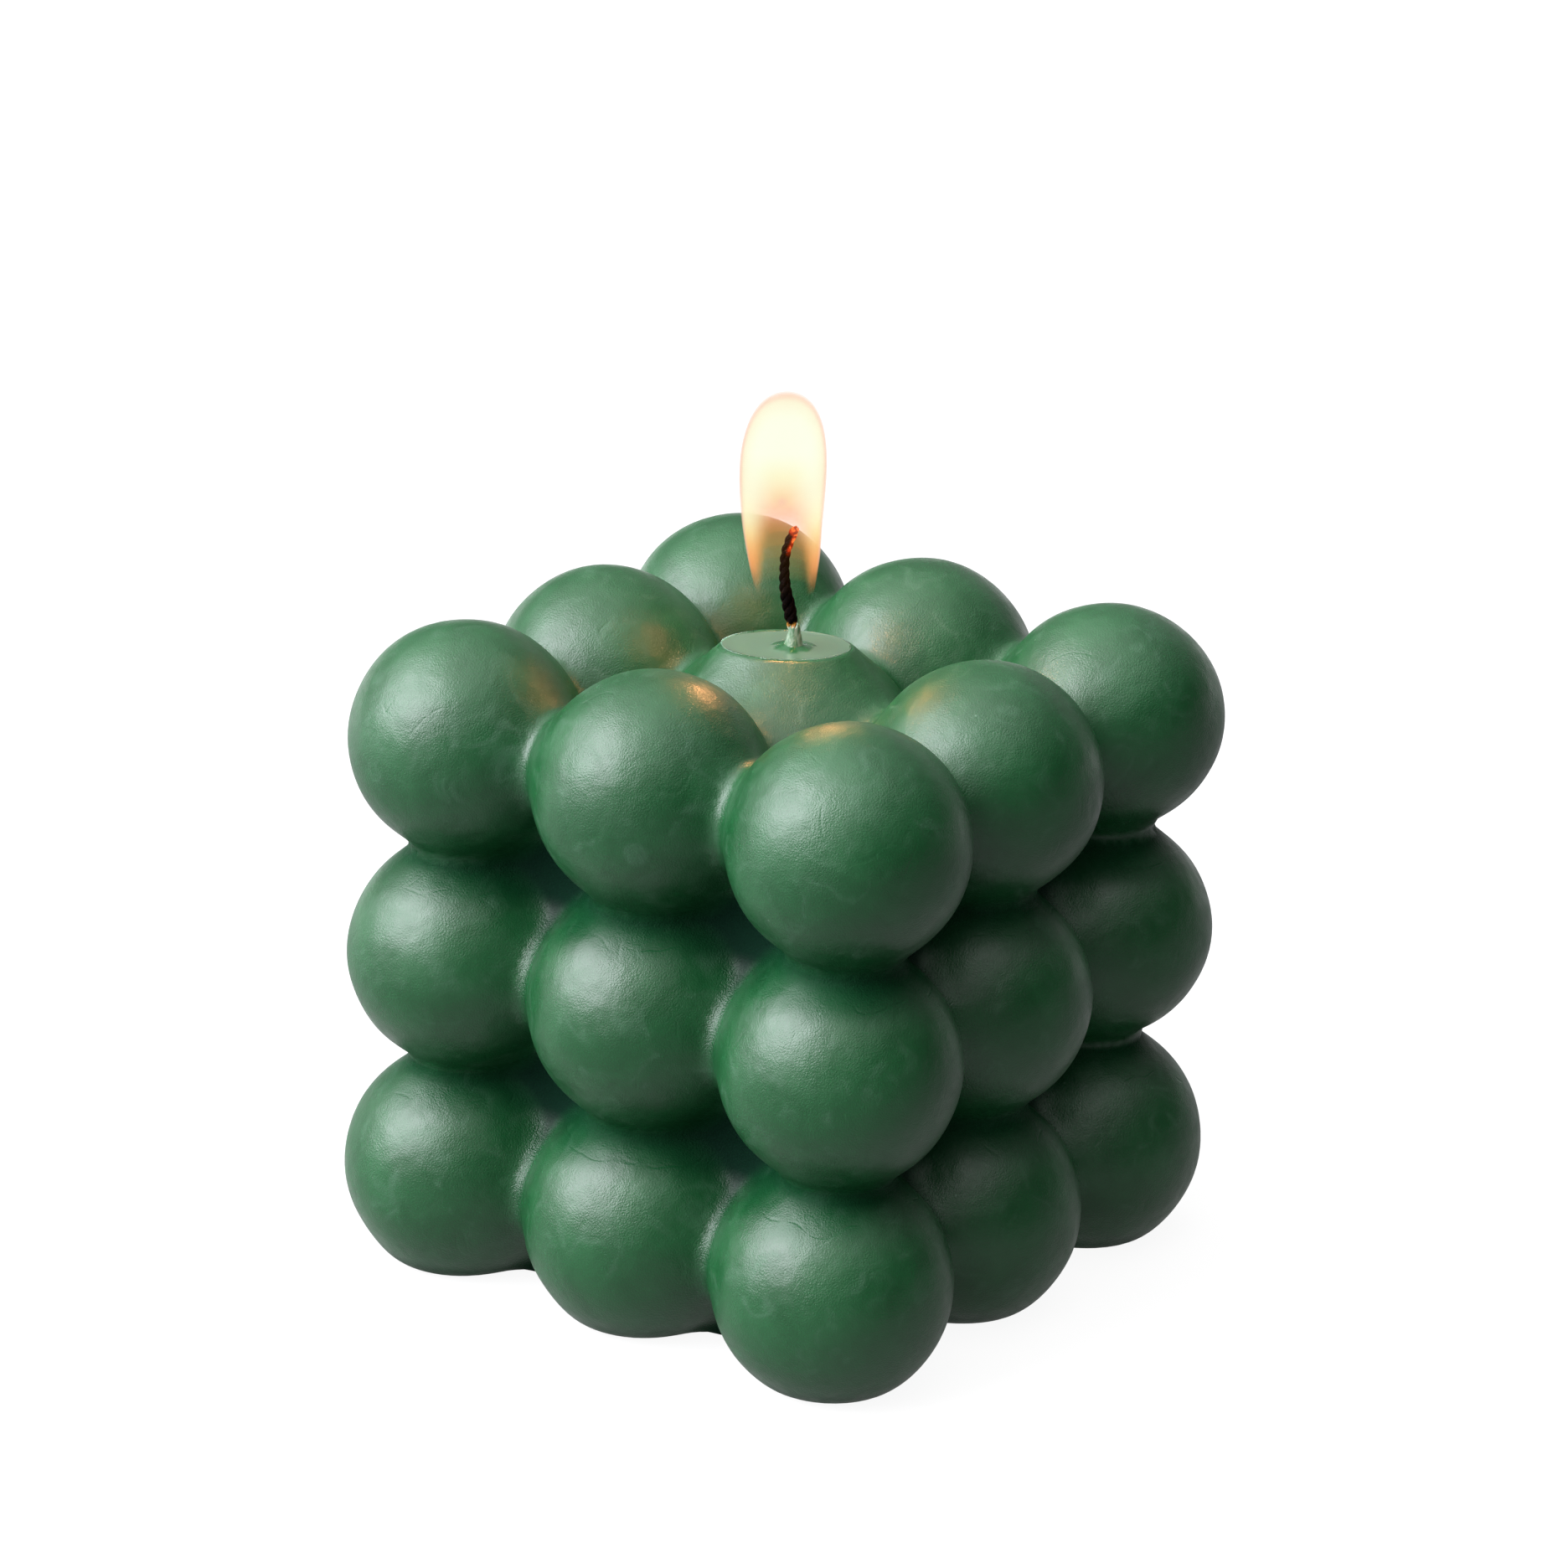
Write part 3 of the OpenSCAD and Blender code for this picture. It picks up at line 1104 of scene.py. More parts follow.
        # Off the balls, in the webs and necks, the wax gets painted shade
        paint_attribute(mesh, "off_ball", np.clip(nearest / MM, 0, 4) * (1 - on_top))
        up = (points[:, 2] - self.lattice.bottom_z) / self.lattice.layer_pitch
        off_seam = np.abs(up - np.floor(up) - 0.5) * self.lattice.layer_pitch
        # The seams between layers get painted shade too
        shaded_seam = smooth_step(*self.seam_start, nearest) * (1 - smooth_step(*self.seam_stop, off_seam))
        paint_attribute(mesh, "shaded_seam", shaded_seam * (points[:, 2] < self.lattice.top_z))
        from_lip = np.abs(self.melt.reach(points, self.melt.lip_width * 0.5))
        wet = (1 - smooth_step(*self.wet_stop, from_lip)) * (points[:, 2] > self.melt.rim_z - 0.6 * MM)
        paint_attribute(mesh, "wet", wet)

    def build(self) -> bpy.types.Object:
        """Builds and dresses the casting.

        Returns:
            The piece.
        """
        mesh = self.blank()
        points = self.settle(vertex_array(mesh), np.zeros(len(mesh.vertices)), 3)
        move_vertices(mesh, points)
        self.refine(mesh)
        points = vertex_array(mesh)
        extra = self.swell * noise_at(points, self.swell_size, 1.0)
        extra *= smooth_step(0.0, 3 * MM, points[:, 2])
        points = self.settle(points, extra)
        points[:, 2] = np.maximum(points[:, 2], 0.0)
        move_vertices(mesh, points)
        self.paint(mesh, points)
        piece = new_piece("wax_casting", mesh, self.finish.material(self.lattice))
        hand_over(piece, "candle_body")
        return piece


@dataclass
class MeltPool:
    """Liquid wax in the dish: level, with a small climb at its rim and round the wick."""

    melt: Melt
    finish: LiquidFinish = field(default_factory=LiquidFinish)
    wick_r: float = 0.62 * MM
    wick_climb: float = 0.55 * MM
    climb_reach: float = 0.75 * MM
    rim_climb: float = 0.12 * MM
    rim_reach: float = 0.3 * MM
    # The liquid's bed lies this much above the dish's, and its edge this share of the lip within the rim
    bed_gap: float = 0.3 * MM
    edge_share: float = 0.6
    turns: int = 120
    rings: int = 46

    def build(self) -> bpy.types.Object:
        """Builds the pool as a spun lens, then draws it to the oval of the dish.

        Returns:
            The piece.
        """
        bm = bmesh.new()
        radii = [n / self.rings for n in range(self.rings + 1)]
        line = [bm.verts.new((r, 0.0, 1.0)) for r in radii]
        under = [bm.verts.new((r, 0.0, -1.0)) for r in reversed(radii[:-1:4])]
        spin_round(bm, line + under, self.turns)
        bmesh.ops.remove_doubles(bm, verts=bm.verts, dist=1e-6)
        bmesh.ops.recalc_face_normals(bm, faces=bm.faces)
        mesh = to_mesh(bm, "melt_pool")
        move_vertices(mesh, self.drawn(vertex_array(mesh)))
        piece = new_piece("liquid_pool", mesh, self.finish.material())
        hand_over(piece, "melt_pool")
        return piece

    def drawn(self, unit: np.ndarray) -> np.ndarray:
        """Draws the unit lens to the dish.

        Args:
            unit: Vertices of the lens, with radius 1 and height 1 above or -1 below.

        Returns:
            The vertices in place.
        """
        inset = self.melt.lip_width * self.edge_share
        a, b = self.melt.half_width - inset, self.melt.half_depth - inset
        r = np.linalg.norm(unit[:, :2], axis=1)
        level = self.melt.middle + np.outer(unit[:, 0] * a, RIGHTWARDS) + np.outer(unit[:, 1] * b, AWAY)
        to_wick = np.maximum(np.linalg.norm(level[:, :2], axis=1) - self.wick_r, 0.0)
        to_rim = (1.0 - r) * b
        climb = self.wick_climb * np.exp(-to_wick / self.climb_reach)
        climb += self.rim_climb * np.exp(-to_rim / self.rim_reach)
        top = self.melt.pool_z + climb
        bed = self.melt.dish_depth - self.bed_gap
        bottom = self.melt.pool_z - bed * np.sqrt(np.clip(1 - r * r, 0, 1))
        level[:, 2] = np.where(unit[:, 2] > 0, top, bottom)
        return level


@dataclass
class Wick:
    """One cotton cord of three strands, with a waxed foot, bent and charred above it."""

    melt: Melt
    finish: CottonFinish = field(default_factory=CottonFinish)
    height: float = 10.9 * MM
    # Heights above the pool in millimetres and the cord's radius there
    girth: tuple[tuple[float, float], ...] = (
        (-60, 0.62), (-1, 0.62), (0, 0.42), (2.1, 0.42), (2.7, 0.56), (4.0, 0.59), (5.7, 0.51),
        (7, 0.44), (10.9, 0.41),
    )
    reach: float = 1.0 * MM
    lay: float = 2.6 * MM
    strands: int = 3
    # How far a strand's middle lies off the cord's, and its radius, as shares of the cord's radius
    strand_off: float = 0.46
    strand_r: float = 0.56
    char_height: float = 2.3 * MM
    # The cord's foot: its height above the base, and how many points lie between it and the pool
    foot_z: float = 0.1 * MM
    foot_points: int = 24
    # Length over which the tip is rounded, and the share of it that is cut off
    tip_length: float = 0.7 * MM
    tip_cut: float = 0.15
    # Heights above the pool in millimetres over which the side and the tip begin to glow
    side_glow: tuple[float, float] = (8.3, 9.2)
    tip_glow: tuple[float, float] = (10.2, 10.7)
    # Sideways as shares of the reach, upwards as shares of the height
    route: tuple[tuple[float, float], ...] = (
        (0, -0.06), (0, 0), (0.08, 0.12), (0.4, 0.3), (0.85, 0.48),
        (1, 0.64), (0.95, 0.78), (0.6, 0.9), (0.1, 1),
    )

    def line(self, samples: int = 160) -> np.ndarray:
        """Draws a smooth curve through the cord's route.

        Args:
            samples: How many points lie above the pool.

        Returns:
            Points along the cord, from the base to its tip.
        """
        shares = np.array(self.route, float)
        marks = np.linspace(0, len(shares) - 1, samples)
        spans = np.minimum(marks.astype(int), len(shares) - 2)
        t = (marks - spans)[:, None]
        p = [shares[np.clip(spans + n, 0, len(shares) - 1)] for n in (-1, 0, 1, 2)]
        cubed = 3 * (p[1] - p[2]) + p[3] - p[0]
        squared = 2 * p[0] - 5 * p[1] + 4 * p[2] - p[3]
        curve = p[1] + 0.5 * t * (p[2] - p[0] + t * (squared + t * cubed))
        bent = np.outer(curve[:, 0] * self.reach, LEAN)
        bent[:, 2] = self.melt.pool_z + curve[:, 1] * self.height
        foot = np.zeros((self.foot_points, 3))
        foot[:, 2] = np.linspace(self.foot_z, bent[0, 2], self.foot_points + 1)[:-1]
        return np.concatenate([foot, bent])

    def strand_line(self, line: np.ndarray, number: int) -> tuple[np.ndarray, np.ndarray]:
        """Winds one strand round the cord's line.

        Args:
            line: Points along the cord.
            number: Which strand.

        Returns:
            The strand's points and its radii.
        """
        step = np.gradient(line, axis=0)
        along = step / np.linalg.norm(step, axis=1, keepdims=True)
        side = np.cross(along, np.array([LEAN[1], -LEAN[0], 0.0]))
        side /= np.linalg.norm(side, axis=1, keepdims=True)
        other = np.cross(along, side)
        length = np.concatenate([[0.0], np.cumsum(np.linalg.norm(np.diff(line, axis=0), axis=1))])
        turn = math.tau * (length / self.lay + number / self.strands)
        to_tip = (length[-1] - length) / self.tip_length
        taper = np.sqrt(np.clip(1 - (1 - np.minimum(to_tip + self.tip_cut, 1)) ** 2, 0, 1))
        marks, radii = np.array(self.girth).T
        radius = np.interp((line[:, 2] - self.melt.pool_z) / MM, marks, radii) * MM * taper
        off = self.strand_off * radius
        way = np.cos(turn)[:, None] * side + np.sin(turn)[:, None] * other
        return line + off[:, None] * way, self.strand_r * radius

    def paint_heat(self, mesh: bpy.types.Mesh, line: np.ndarray) -> None:
        """Stores how hot each vertex is: the tip, and the side of the cord that faces the flame.

        Args:
            mesh: The cord's mesh.
            line: Points along the cord.
        """
        points = vertex_array(mesh)
        middle = np.stack([np.interp(points[:, 2], line[:, 2], line[:, n]) for n in (0, 1)], axis=1)
        aside = (points[:, :2] - middle) @ RIGHTWARDS[:2]
        h = (points[:, 2] - self.melt.pool_z) / MM
        side = smooth_step(*self.side_glow, h) * smooth_step(-0.05 * MM, 0.22 * MM, aside)
        ragged = 0.35 * noise_at(points, 0.5 * MM, 4.0)
        tip = smooth_step(*self.tip_glow, h + ragged)
        paint_attribute(mesh, "ember", np.clip(np.maximum(side, tip), 0, 1))

    def build(self) -> bpy.types.Object:
        """Builds the strands as curves and makes them one mesh.

        Returns:
            The piece.
        """
        line = self.line()
        data = bpy.data.curves.new("strands", "CURVE")
        data.dimensions = "3D"
        data.bevel_depth = 1.0
        data.bevel_resolution = 3
        data.use_fill_caps = True
        for number in range(self.strands):
            points, radii = self.strand_line(line, number)
            spline = data.splines.new("POLY")
            spline.points.add(len(points) - 1)
            spline.points.foreach_set("co", np.c_[points, np.ones(len(points))].ravel())
            spline.points.foreach_set("radius", radii)
        mesh = take_mesh(new_object("scratch", data))
        self.paint_heat(mesh, line)
        material = self.finish.material(self.melt.pool_z + self.char_height)
        piece = new_piece("cotton_wick", mesh, material)
        hand_over(piece, "wick")
        return piece


@dataclass(frozen=True)
class SoakedFinish:
    """Pale, wet wax that has soaked the cord's foot, with the green of the pool shining through."""

    pale: tuple[float, float, float] = (0.17, 0.23, 0.17)
    green: tuple[float, float, float] = (0.06, 0.13, 0.07)
    roughness: float = 0.22
    streak_depth: float = 0.05 * MM
    translucency: float = 0.4
    scatter_hue: tuple[float, float, float] = (0.6, 1.0, 0.7)
    scatter_length: float = 0.6 * MM

    def material(self) -> bpy.types.Material:
        """Builds the finish.

        Returns:
            The material.
        """
        made, g = new_material("soaked_wick")
        point = g.object_point()
        tall = g.node("Mapping", Vector=point, Scale=(1.0, 1.0, 0.35))
        streaks = g.cloud(tall.outputs["Vector"], 0.32 * MM, 3.0, 0.8)
        colour = g.blend(g.spread(streaks, 0.38, 0.62), rgba(self.green), rgba(self.pale))
        streaked = g.bump(self.streak_depth, streaks)
        shader = g.node("BsdfPrincipled", Base_Color=colour, Roughness=self.roughness, Normal=streaked)
        g.scatter(shader, self.translucency, self.scatter_hue, self.scatter_length)
        g.end("OutputMaterial", shader.outputs["BSDF"])
        return made


@dataclass
class Sheath:
    """The lumpy sheath of soaked wax round the cord's foot."""

    melt: Melt
    finish: SoakedFinish = field(default_factory=SoakedFinish)
    # Heights above the pool and radii, in millimetres
    profile: tuple[tuple[float, float], ...] = (
        (-0.2, 0.0), (-0.2, 1.0), (0.05, 0.96), (0.3, 0.84), (0.7, 0.74), (1.1, 0.64), (1.5, 0.56),
        (1.8, 0.51), (2.0, 0.47), (2.15, 0.39), (2.2, 0.0),
    )
    # Height of the lumps, and the length of the coarse and of the fine ones
    lump: float = 0.055 * MM
    lump_size: float = 0.55 * MM
    fine_lump_size: float = 0.25 * MM
    # The sheath's upper edge is ragged above this height over the pool
    ragged_from: float = 1.2 * MM
    ragged_share: float = 0.5
    turns: int = 48

    def build(self) -> bpy.types.Object:
        """Spins the profile, smooths it and pushes lumps into it.

        Returns:
            The piece.
        """
        bm = bmesh.new()
        line = [bm.verts.new((r * MM, 0.0, h * MM + self.melt.pool_z)) for h, r in self.profile]
        spin_round(bm, line, self.turns)
        bmesh.ops.remove_doubles(bm, verts=bm.verts, dist=1e-7)
        bmesh.ops.subdivide_edges(bm, edges=bm.edges, cuts=1, smooth=1.0, use_grid_fill=True)
        bmesh.ops.recalc_face_normals(bm, faces=bm.faces)
        for vert in bm.verts:
            away = Vector((vert.co.x, vert.co.y, 0.0))
            if away.length > 0.1 * MM:
                push = noise.noise(vert.co / self.lump_size)
                push += 0.5 * noise.noise(vert.co / self.fine_lump_size)
                vert.co += away.normalized() * self.lump * push
                up = max(0.0, vert.co.z - self.melt.pool_z - self.ragged_from)
                vert.co.z += up * self.ragged_share * noise.noise(away.normalized() * 2.2)
        piece = new_piece("soaked_wick_foot", to_mesh(bm, "sheath"), self.finish.material())
        hand_over(piece, "wick")
        return piece


@dataclass
class Flame:
    """The flame as nested layers of glowing gas, each a closed bell that hangs over the wick."""

    melt: Melt
    wick: Wick
    finish: GlowFinish = field(default_factory=GlowFinish)
    height: float = 17.5 * MM
    widest: float = 7.4 * MM
    skirt: float = 4.9 * MM
    # Length of wick inside it, and how much lower it hangs than that alone would put it
    wick_inside: float = 5.4 * MM
    drop: float = 0.5 * MM
    lean_degrees: float = 0.7
    # Height of the point about which the layers shrink
    scale_about: float = 9.0 * MM
    # The dark space under a layer: its height, what is more in the smaller ones, and the wall at the skirt
    roof: float = 6.3 * MM
    roof_rise: float = 1.5 * MM
    skirt_wall: float = 0.12 * MM
    # How far its middle bows to the left, and its right leg stands out
    bow: float = 0.28 * MM
    skew: float = 0.15 * MM
    layers: tuple[float, ...] = (1.0, 0.985, 0.97, 0.95, 0.925, 0.89, 0.83, 0.73, 0.60, 0.45, 0.28)
    # Heights in millimetres, then green, blue and solidity of the gas there: at the sides and in the middle
    sides: tuple[tuple[float, ...], ...] = (
        (0.0, 0.38, 0.13, 0.0), (1.1, 0.39, 0.12, 0.28), (2.3, 0.40, 0.13, 0.84), (3.4, 0.46, 0.16, 0.95),
        (4.6, 0.60, 0.24, 0.97), (5.7, 0.80, 0.40, 0.97), (6.9, 0.93, 0.58, 0.97), (9.2, 1.0, 0.74, 0.97),
        (13.0, 1.02, 0.80, 0.97), (18.3, 1.0, 0.76, 0.97),
    )
    middle: tuple[tuple[float, ...], ...] = (
        (0.0, 0.60, 0.20, 0.0), (1.5, 0.55, 0.16, 0.08), (3.0, 0.45, 0.09, 0.20), (4.3, 0.37, 0.06, 0.33),
        (5.5, 0.37, 0.13, 0.60), (6.9, 0.48, 0.27, 0.70), (8.1, 0.60, 0.38, 0.79), (9.2, 0.74, 0.45, 0.86),
        (11.2, 0.92, 0.58, 0.92), (13.0, 1.0, 0.78, 0.96), (15.5, 1.0, 0.78, 0.96), (18.3, 0.96, 0.72, 0.96),
    )
    # The pink edge, along the outline that the main view sees: its colour, strength and width
    rim_hue: tuple[float, float, float] = (0.95, 0.56, 0.43)
    rim_strength: float = 0.8
    rim_width: float = 0.42 * MM
    # Shares of the layers, how pink they are there, and how solid one of them looks in the upper flame
    rim_layers: tuple[tuple[float, float, float], ...] = (
        (0.28, 0.0, 0.4), (0.925, 0.0, 0.4), (0.95, 0.1, 0.38), (0.97, 0.2, 0.31), (0.985, 0.3, 0.24),
        (1.0, 0.4, 0.18),
    )
    # Heights in millimetres and the share of the radius out to which the middle's look holds
    middle_share: tuple[tuple[float, float], ...] = ((0.0, 0.70), (3.5, 0.42), (5.5, 0.20), (9.0, 0.10))
    # The side's look holds from this share outwards
    side_share: float = 0.86
    # Heights in millimetres over which the legs' look gives way to the upper flame's
    upper_from: tuple[float, float] = (7.0, 10.5)
    # The warm band inside the upper flame's edge
    warm_width: float = 1.4 * MM
    # The outermost gas is thinner, over this width
    thin_width: float = 0.16 * MM
    turns: int = 64

    def outline(self, steps: int = 34) -> np.ndarray:
        """Draws the whole flame's outer line.

        Args:
            steps: Steps of each of its two curves.

        Returns:
            Rows of radius and height, from the skirt's end to the top.
        """
        marks = np.linspace(0, 1, steps + 1)[:, None]
        r, h = self.widest / 2, self.height
        low = bezier(marks, (self.skirt / 2, 0), (self.skirt * 0.64, h * 0.2), (r, h * 0.41), (r, h * 0.61))
        high = bezier(marks, (r, h * 0.61), (r, h * 0.84), (r * 0.68, h), (0, h))
        return np.concatenate([low, high[1:]])

    def layer(self, bm: bmesh.types.BMesh, share: float) -> None:
        """Adds one bell.

        Args:
            bm: The mesh that grows.
            share: Size of the layer against the whole flame.
        """
        outer = self.outline()
        outer[:, 0] *= share
        outer[:, 1] = self.scale_about + (outer[:, 1] - self.scale_about) * share
        roof = self.roof + (1 - share) * self.roof_rise
        start = outer[0]
        t = np.linspace(0, 1, 9)[1:]
        inner_r = (start[0] - self.skirt_wall) * np.sqrt(np.clip(1 - t ** 3, 0, 1))
        inner_h = start[1] + (roof - start[1]) * (1 - (1 - t) ** 1.6)
        profile = [bm.verts.new((0.0, 0.0, inner_h[-1]))]
        profile += [bm.verts.new((r, 0.0, h)) for r, h in zip(inner_r[-2::-1], inner_h[-2::-1])]
        profile += [bm.verts.new((r, 0.0, h)) for r, h in outer[:-1]]
        profile += [bm.verts.new((0.0, 0.0, outer[-1, 1]))]
        spin_round(bm, profile, self.turns)

    def reach_at(self, share: np.ndarray | float, h: np.ndarray) -> np.ndarray:
        """Measures a layer's radius.

        Args:
            share: Size of the layer against the whole flame.
            h: Heights.

        Returns:
            Its radius at each height, or a negative number where it doesn't reach.
        """
        outline = self.outline()
        up = self.scale_about + (h - self.scale_about) / share
        inside = (up >= -1e-6) & (up <= self.height + 1e-6)
        return np.where(inside, share * np.interp(up, outline[:, 1], outline[:, 0]), -1.0)

    def silhouette(self, aside: np.ndarray, height: np.ndarray) -> np.ndarray:
        """Finds the smallest layer whose outline still holds each point, as the viewer sees it.

        Args:
            aside: Distances from the axis, across the view.
            height: Heights.

        Returns:
            The layer's size at each point, against the whole flame.
        """
        found = np.ones(len(aside))
        for share in np.linspace(0.998, 0.3, 110):
            found = np.where(self.reach_at(share, height) >= aside, share, found)
        return found

    def gas(self, h: np.ndarray, side: np.ndarray) -> list[np.ndarray]:
        """Reads the gas's look from its two tables.

        Args:
            h: Heights in millimetres.
            side: Share of the side's look, from 0 in the middle to 1 at the sides.

        Returns:
            Green, blue and solidity.
        """
        read = []
        for table in (self.sides, self.middle):
            marks, *columns = np.array(table).T
            read.append([np.interp(h, marks, values) for values in columns])
        return [at_side * side + in_middle * (1 - side) for at_side, in_middle in zip(*read)]

    def glow(self, points: np.ndarray, size: np.ndarray) -> tuple[np.ndarray, np.ndarray]:
        """Works out each vertex's colour and how solid it looks.

        Low down the gas is brightest in two legs beside the wick. What a place adds is split over the layers
        that lie before and behind each other there, so that together they look as solid as the gas. Higher up
        a layer's solidity follows its size, and the outermost ones are pinker and thinner. The pink edge and
        the warm band follow the outline that the main view sees, so from the side the pink is in the middle.

        Args:
            points: Vertices of the upright flame, with its axis as Z.
            size: Share of the layer that each vertex lies on.

        Returns:
            Colours as rows of four, and shares from 0 to 1.
        """
        height = points[:, 2]
        aside = np.abs(points @ RIGHTWARDS)
        h = height / MM
        across = np.clip(aside / np.maximum(self.reach_at(1.0, height), 0.05 * MM), 0.0, 1.0)
        to_edge = (1 - self.silhouette(aside, height)) * np.hypot(aside, height - self.scale_about)
        inner = np.interp(h, *np.array(self.middle_share).T)
        side = smooth_step(0.0, 1.0, (across - inner) / (self.side_share - inner))
        green, blue, solid = self.gas(h, side)
        upper = smooth_step(*self.upper_from, h)
        shares, pinkness, one_solid = np.array(self.rim_layers).T
        outer = self.rim_strength * smooth_step(self.rim_width, 0.0, to_edge) * smooth_step(1.0, 4.0, h)
        edge = 1 - (1 - outer) * (1 - np.interp(size, shares, pinkness) * upper)
        warm = smooth_step(self.warm_width, 0.0, to_edge)
        green = green * (1 + upper * (0.13 - 0.12 * warm))
        blue = blue * (1 + upper * (0.17 - 0.24 * warm))
        green = green * (1 - edge) + edge * self.rim_hue[1]
        blue = blue * (1 - edge) + edge * self.rim_hue[2]
        red = 1 - edge * (1 - self.rim_hue[0])
        hue = np.stack([red, green, blue, np.ones_like(h)], axis=1)
        solid = solid * (1 - 0.5 * smooth_step(self.thin_width, 0.0, to_edge))
        split = self.split(points, aside, side, solid)
        whole = np.interp(size, shares, one_solid) * (1 + outer)
        return hue, split * (1 - upper) + whole * upper

    def split(self, points: np.ndarray, aside: np.ndarray, side: np.ndarray, solid: np.ndarray) -> np.ndarray:
        """Splits the gas's solidity over the layers that lie before and behind each other.

        Args:
            points: Vertices of the upright flame, with its axis as Z.
            aside: Their distances from the axis, across the view.
            side: Share of the side's look.
            solid: Solidity of the whole gas there.

        Returns:
            Solidity of one layer.
        """
        height = points[:, 2]
        crossed = sum((self.reach_at(share, height) >= aside - 1e-7).astype(float) for share in self.layers)
        before = points @ AWAY < 0
        front_share = 0.5 - 0.46 * (1 - side) * (1 - smooth_step(6.5, 10.0, height / MM))
        part = np.where(before, front_share, 1 - front_share)
        depth = -np.log(1 - np.clip(solid, 0.0, 0.985))
        return 1 - np.exp(-depth * part / np.maximum(crossed, 1.0))

    def build(self) -> bpy.types.Object:
        """Builds the layers, dresses them, and leans and places the flame.

        Returns:
            The piece.
        """
        bm = bmesh.new()
        counts = []
        for share in self.layers:
            self.layer(bm, share)
            counts.append(len(bm.verts))
        bmesh.ops.recalc_face_normals(bm, faces=bm.faces)
        bm.verts.index_update()
        mesh = to_mesh(bm, "flame")
        points = vertex_array(mesh)
        size = np.repeat(self.layers, np.diff([0, *counts]))
        hue, solid = self.glow(points, size)
        low = 0
        for share, count in zip(self.layers, counts):
            part = points[low:count]
            wanted = self.reach_at(share, part[:, 2])
            solid[low:count] *= np.linalg.norm(part[:, :2], axis=1) > wanted - 0.05 * MM
            low = count
        paint_attribute(mesh, "glow_hue", hue)
        paint_attribute(mesh, "glow_share", solid)
        bent = np.sin(np.clip(points[:, 2] / self.height, 0, 1) * math.pi) * self.bow
        on_right = smooth_step(0.0, 2 * MM, points @ RIGHTWARDS)
        bent -= self.skew * on_right * smooth_step(6.5 * MM, 3 * MM, points[:, 2])
        move_vertices(mesh, points - np.outer(bent, RIGHTWARDS))
        skirt_z = self.melt.rim_z - self.drop + self.wick.height - self.wick_inside
        axis = Vector((-LEAN[1], LEAN[0], 0.0))
        place = Matrix.Translation(Vector(LEAN * self.wick.reach) + Vector((0, 0, skirt_z)))
        mesh.transform(place @ Matrix.Rotation(math.radians(self.lean_degrees), 4, axis))
        piece = new_piece("candle_flame", mesh, self.finish.material())
        piece.visible_shadow = False
        hand_over(piece, "flame")
        return piece


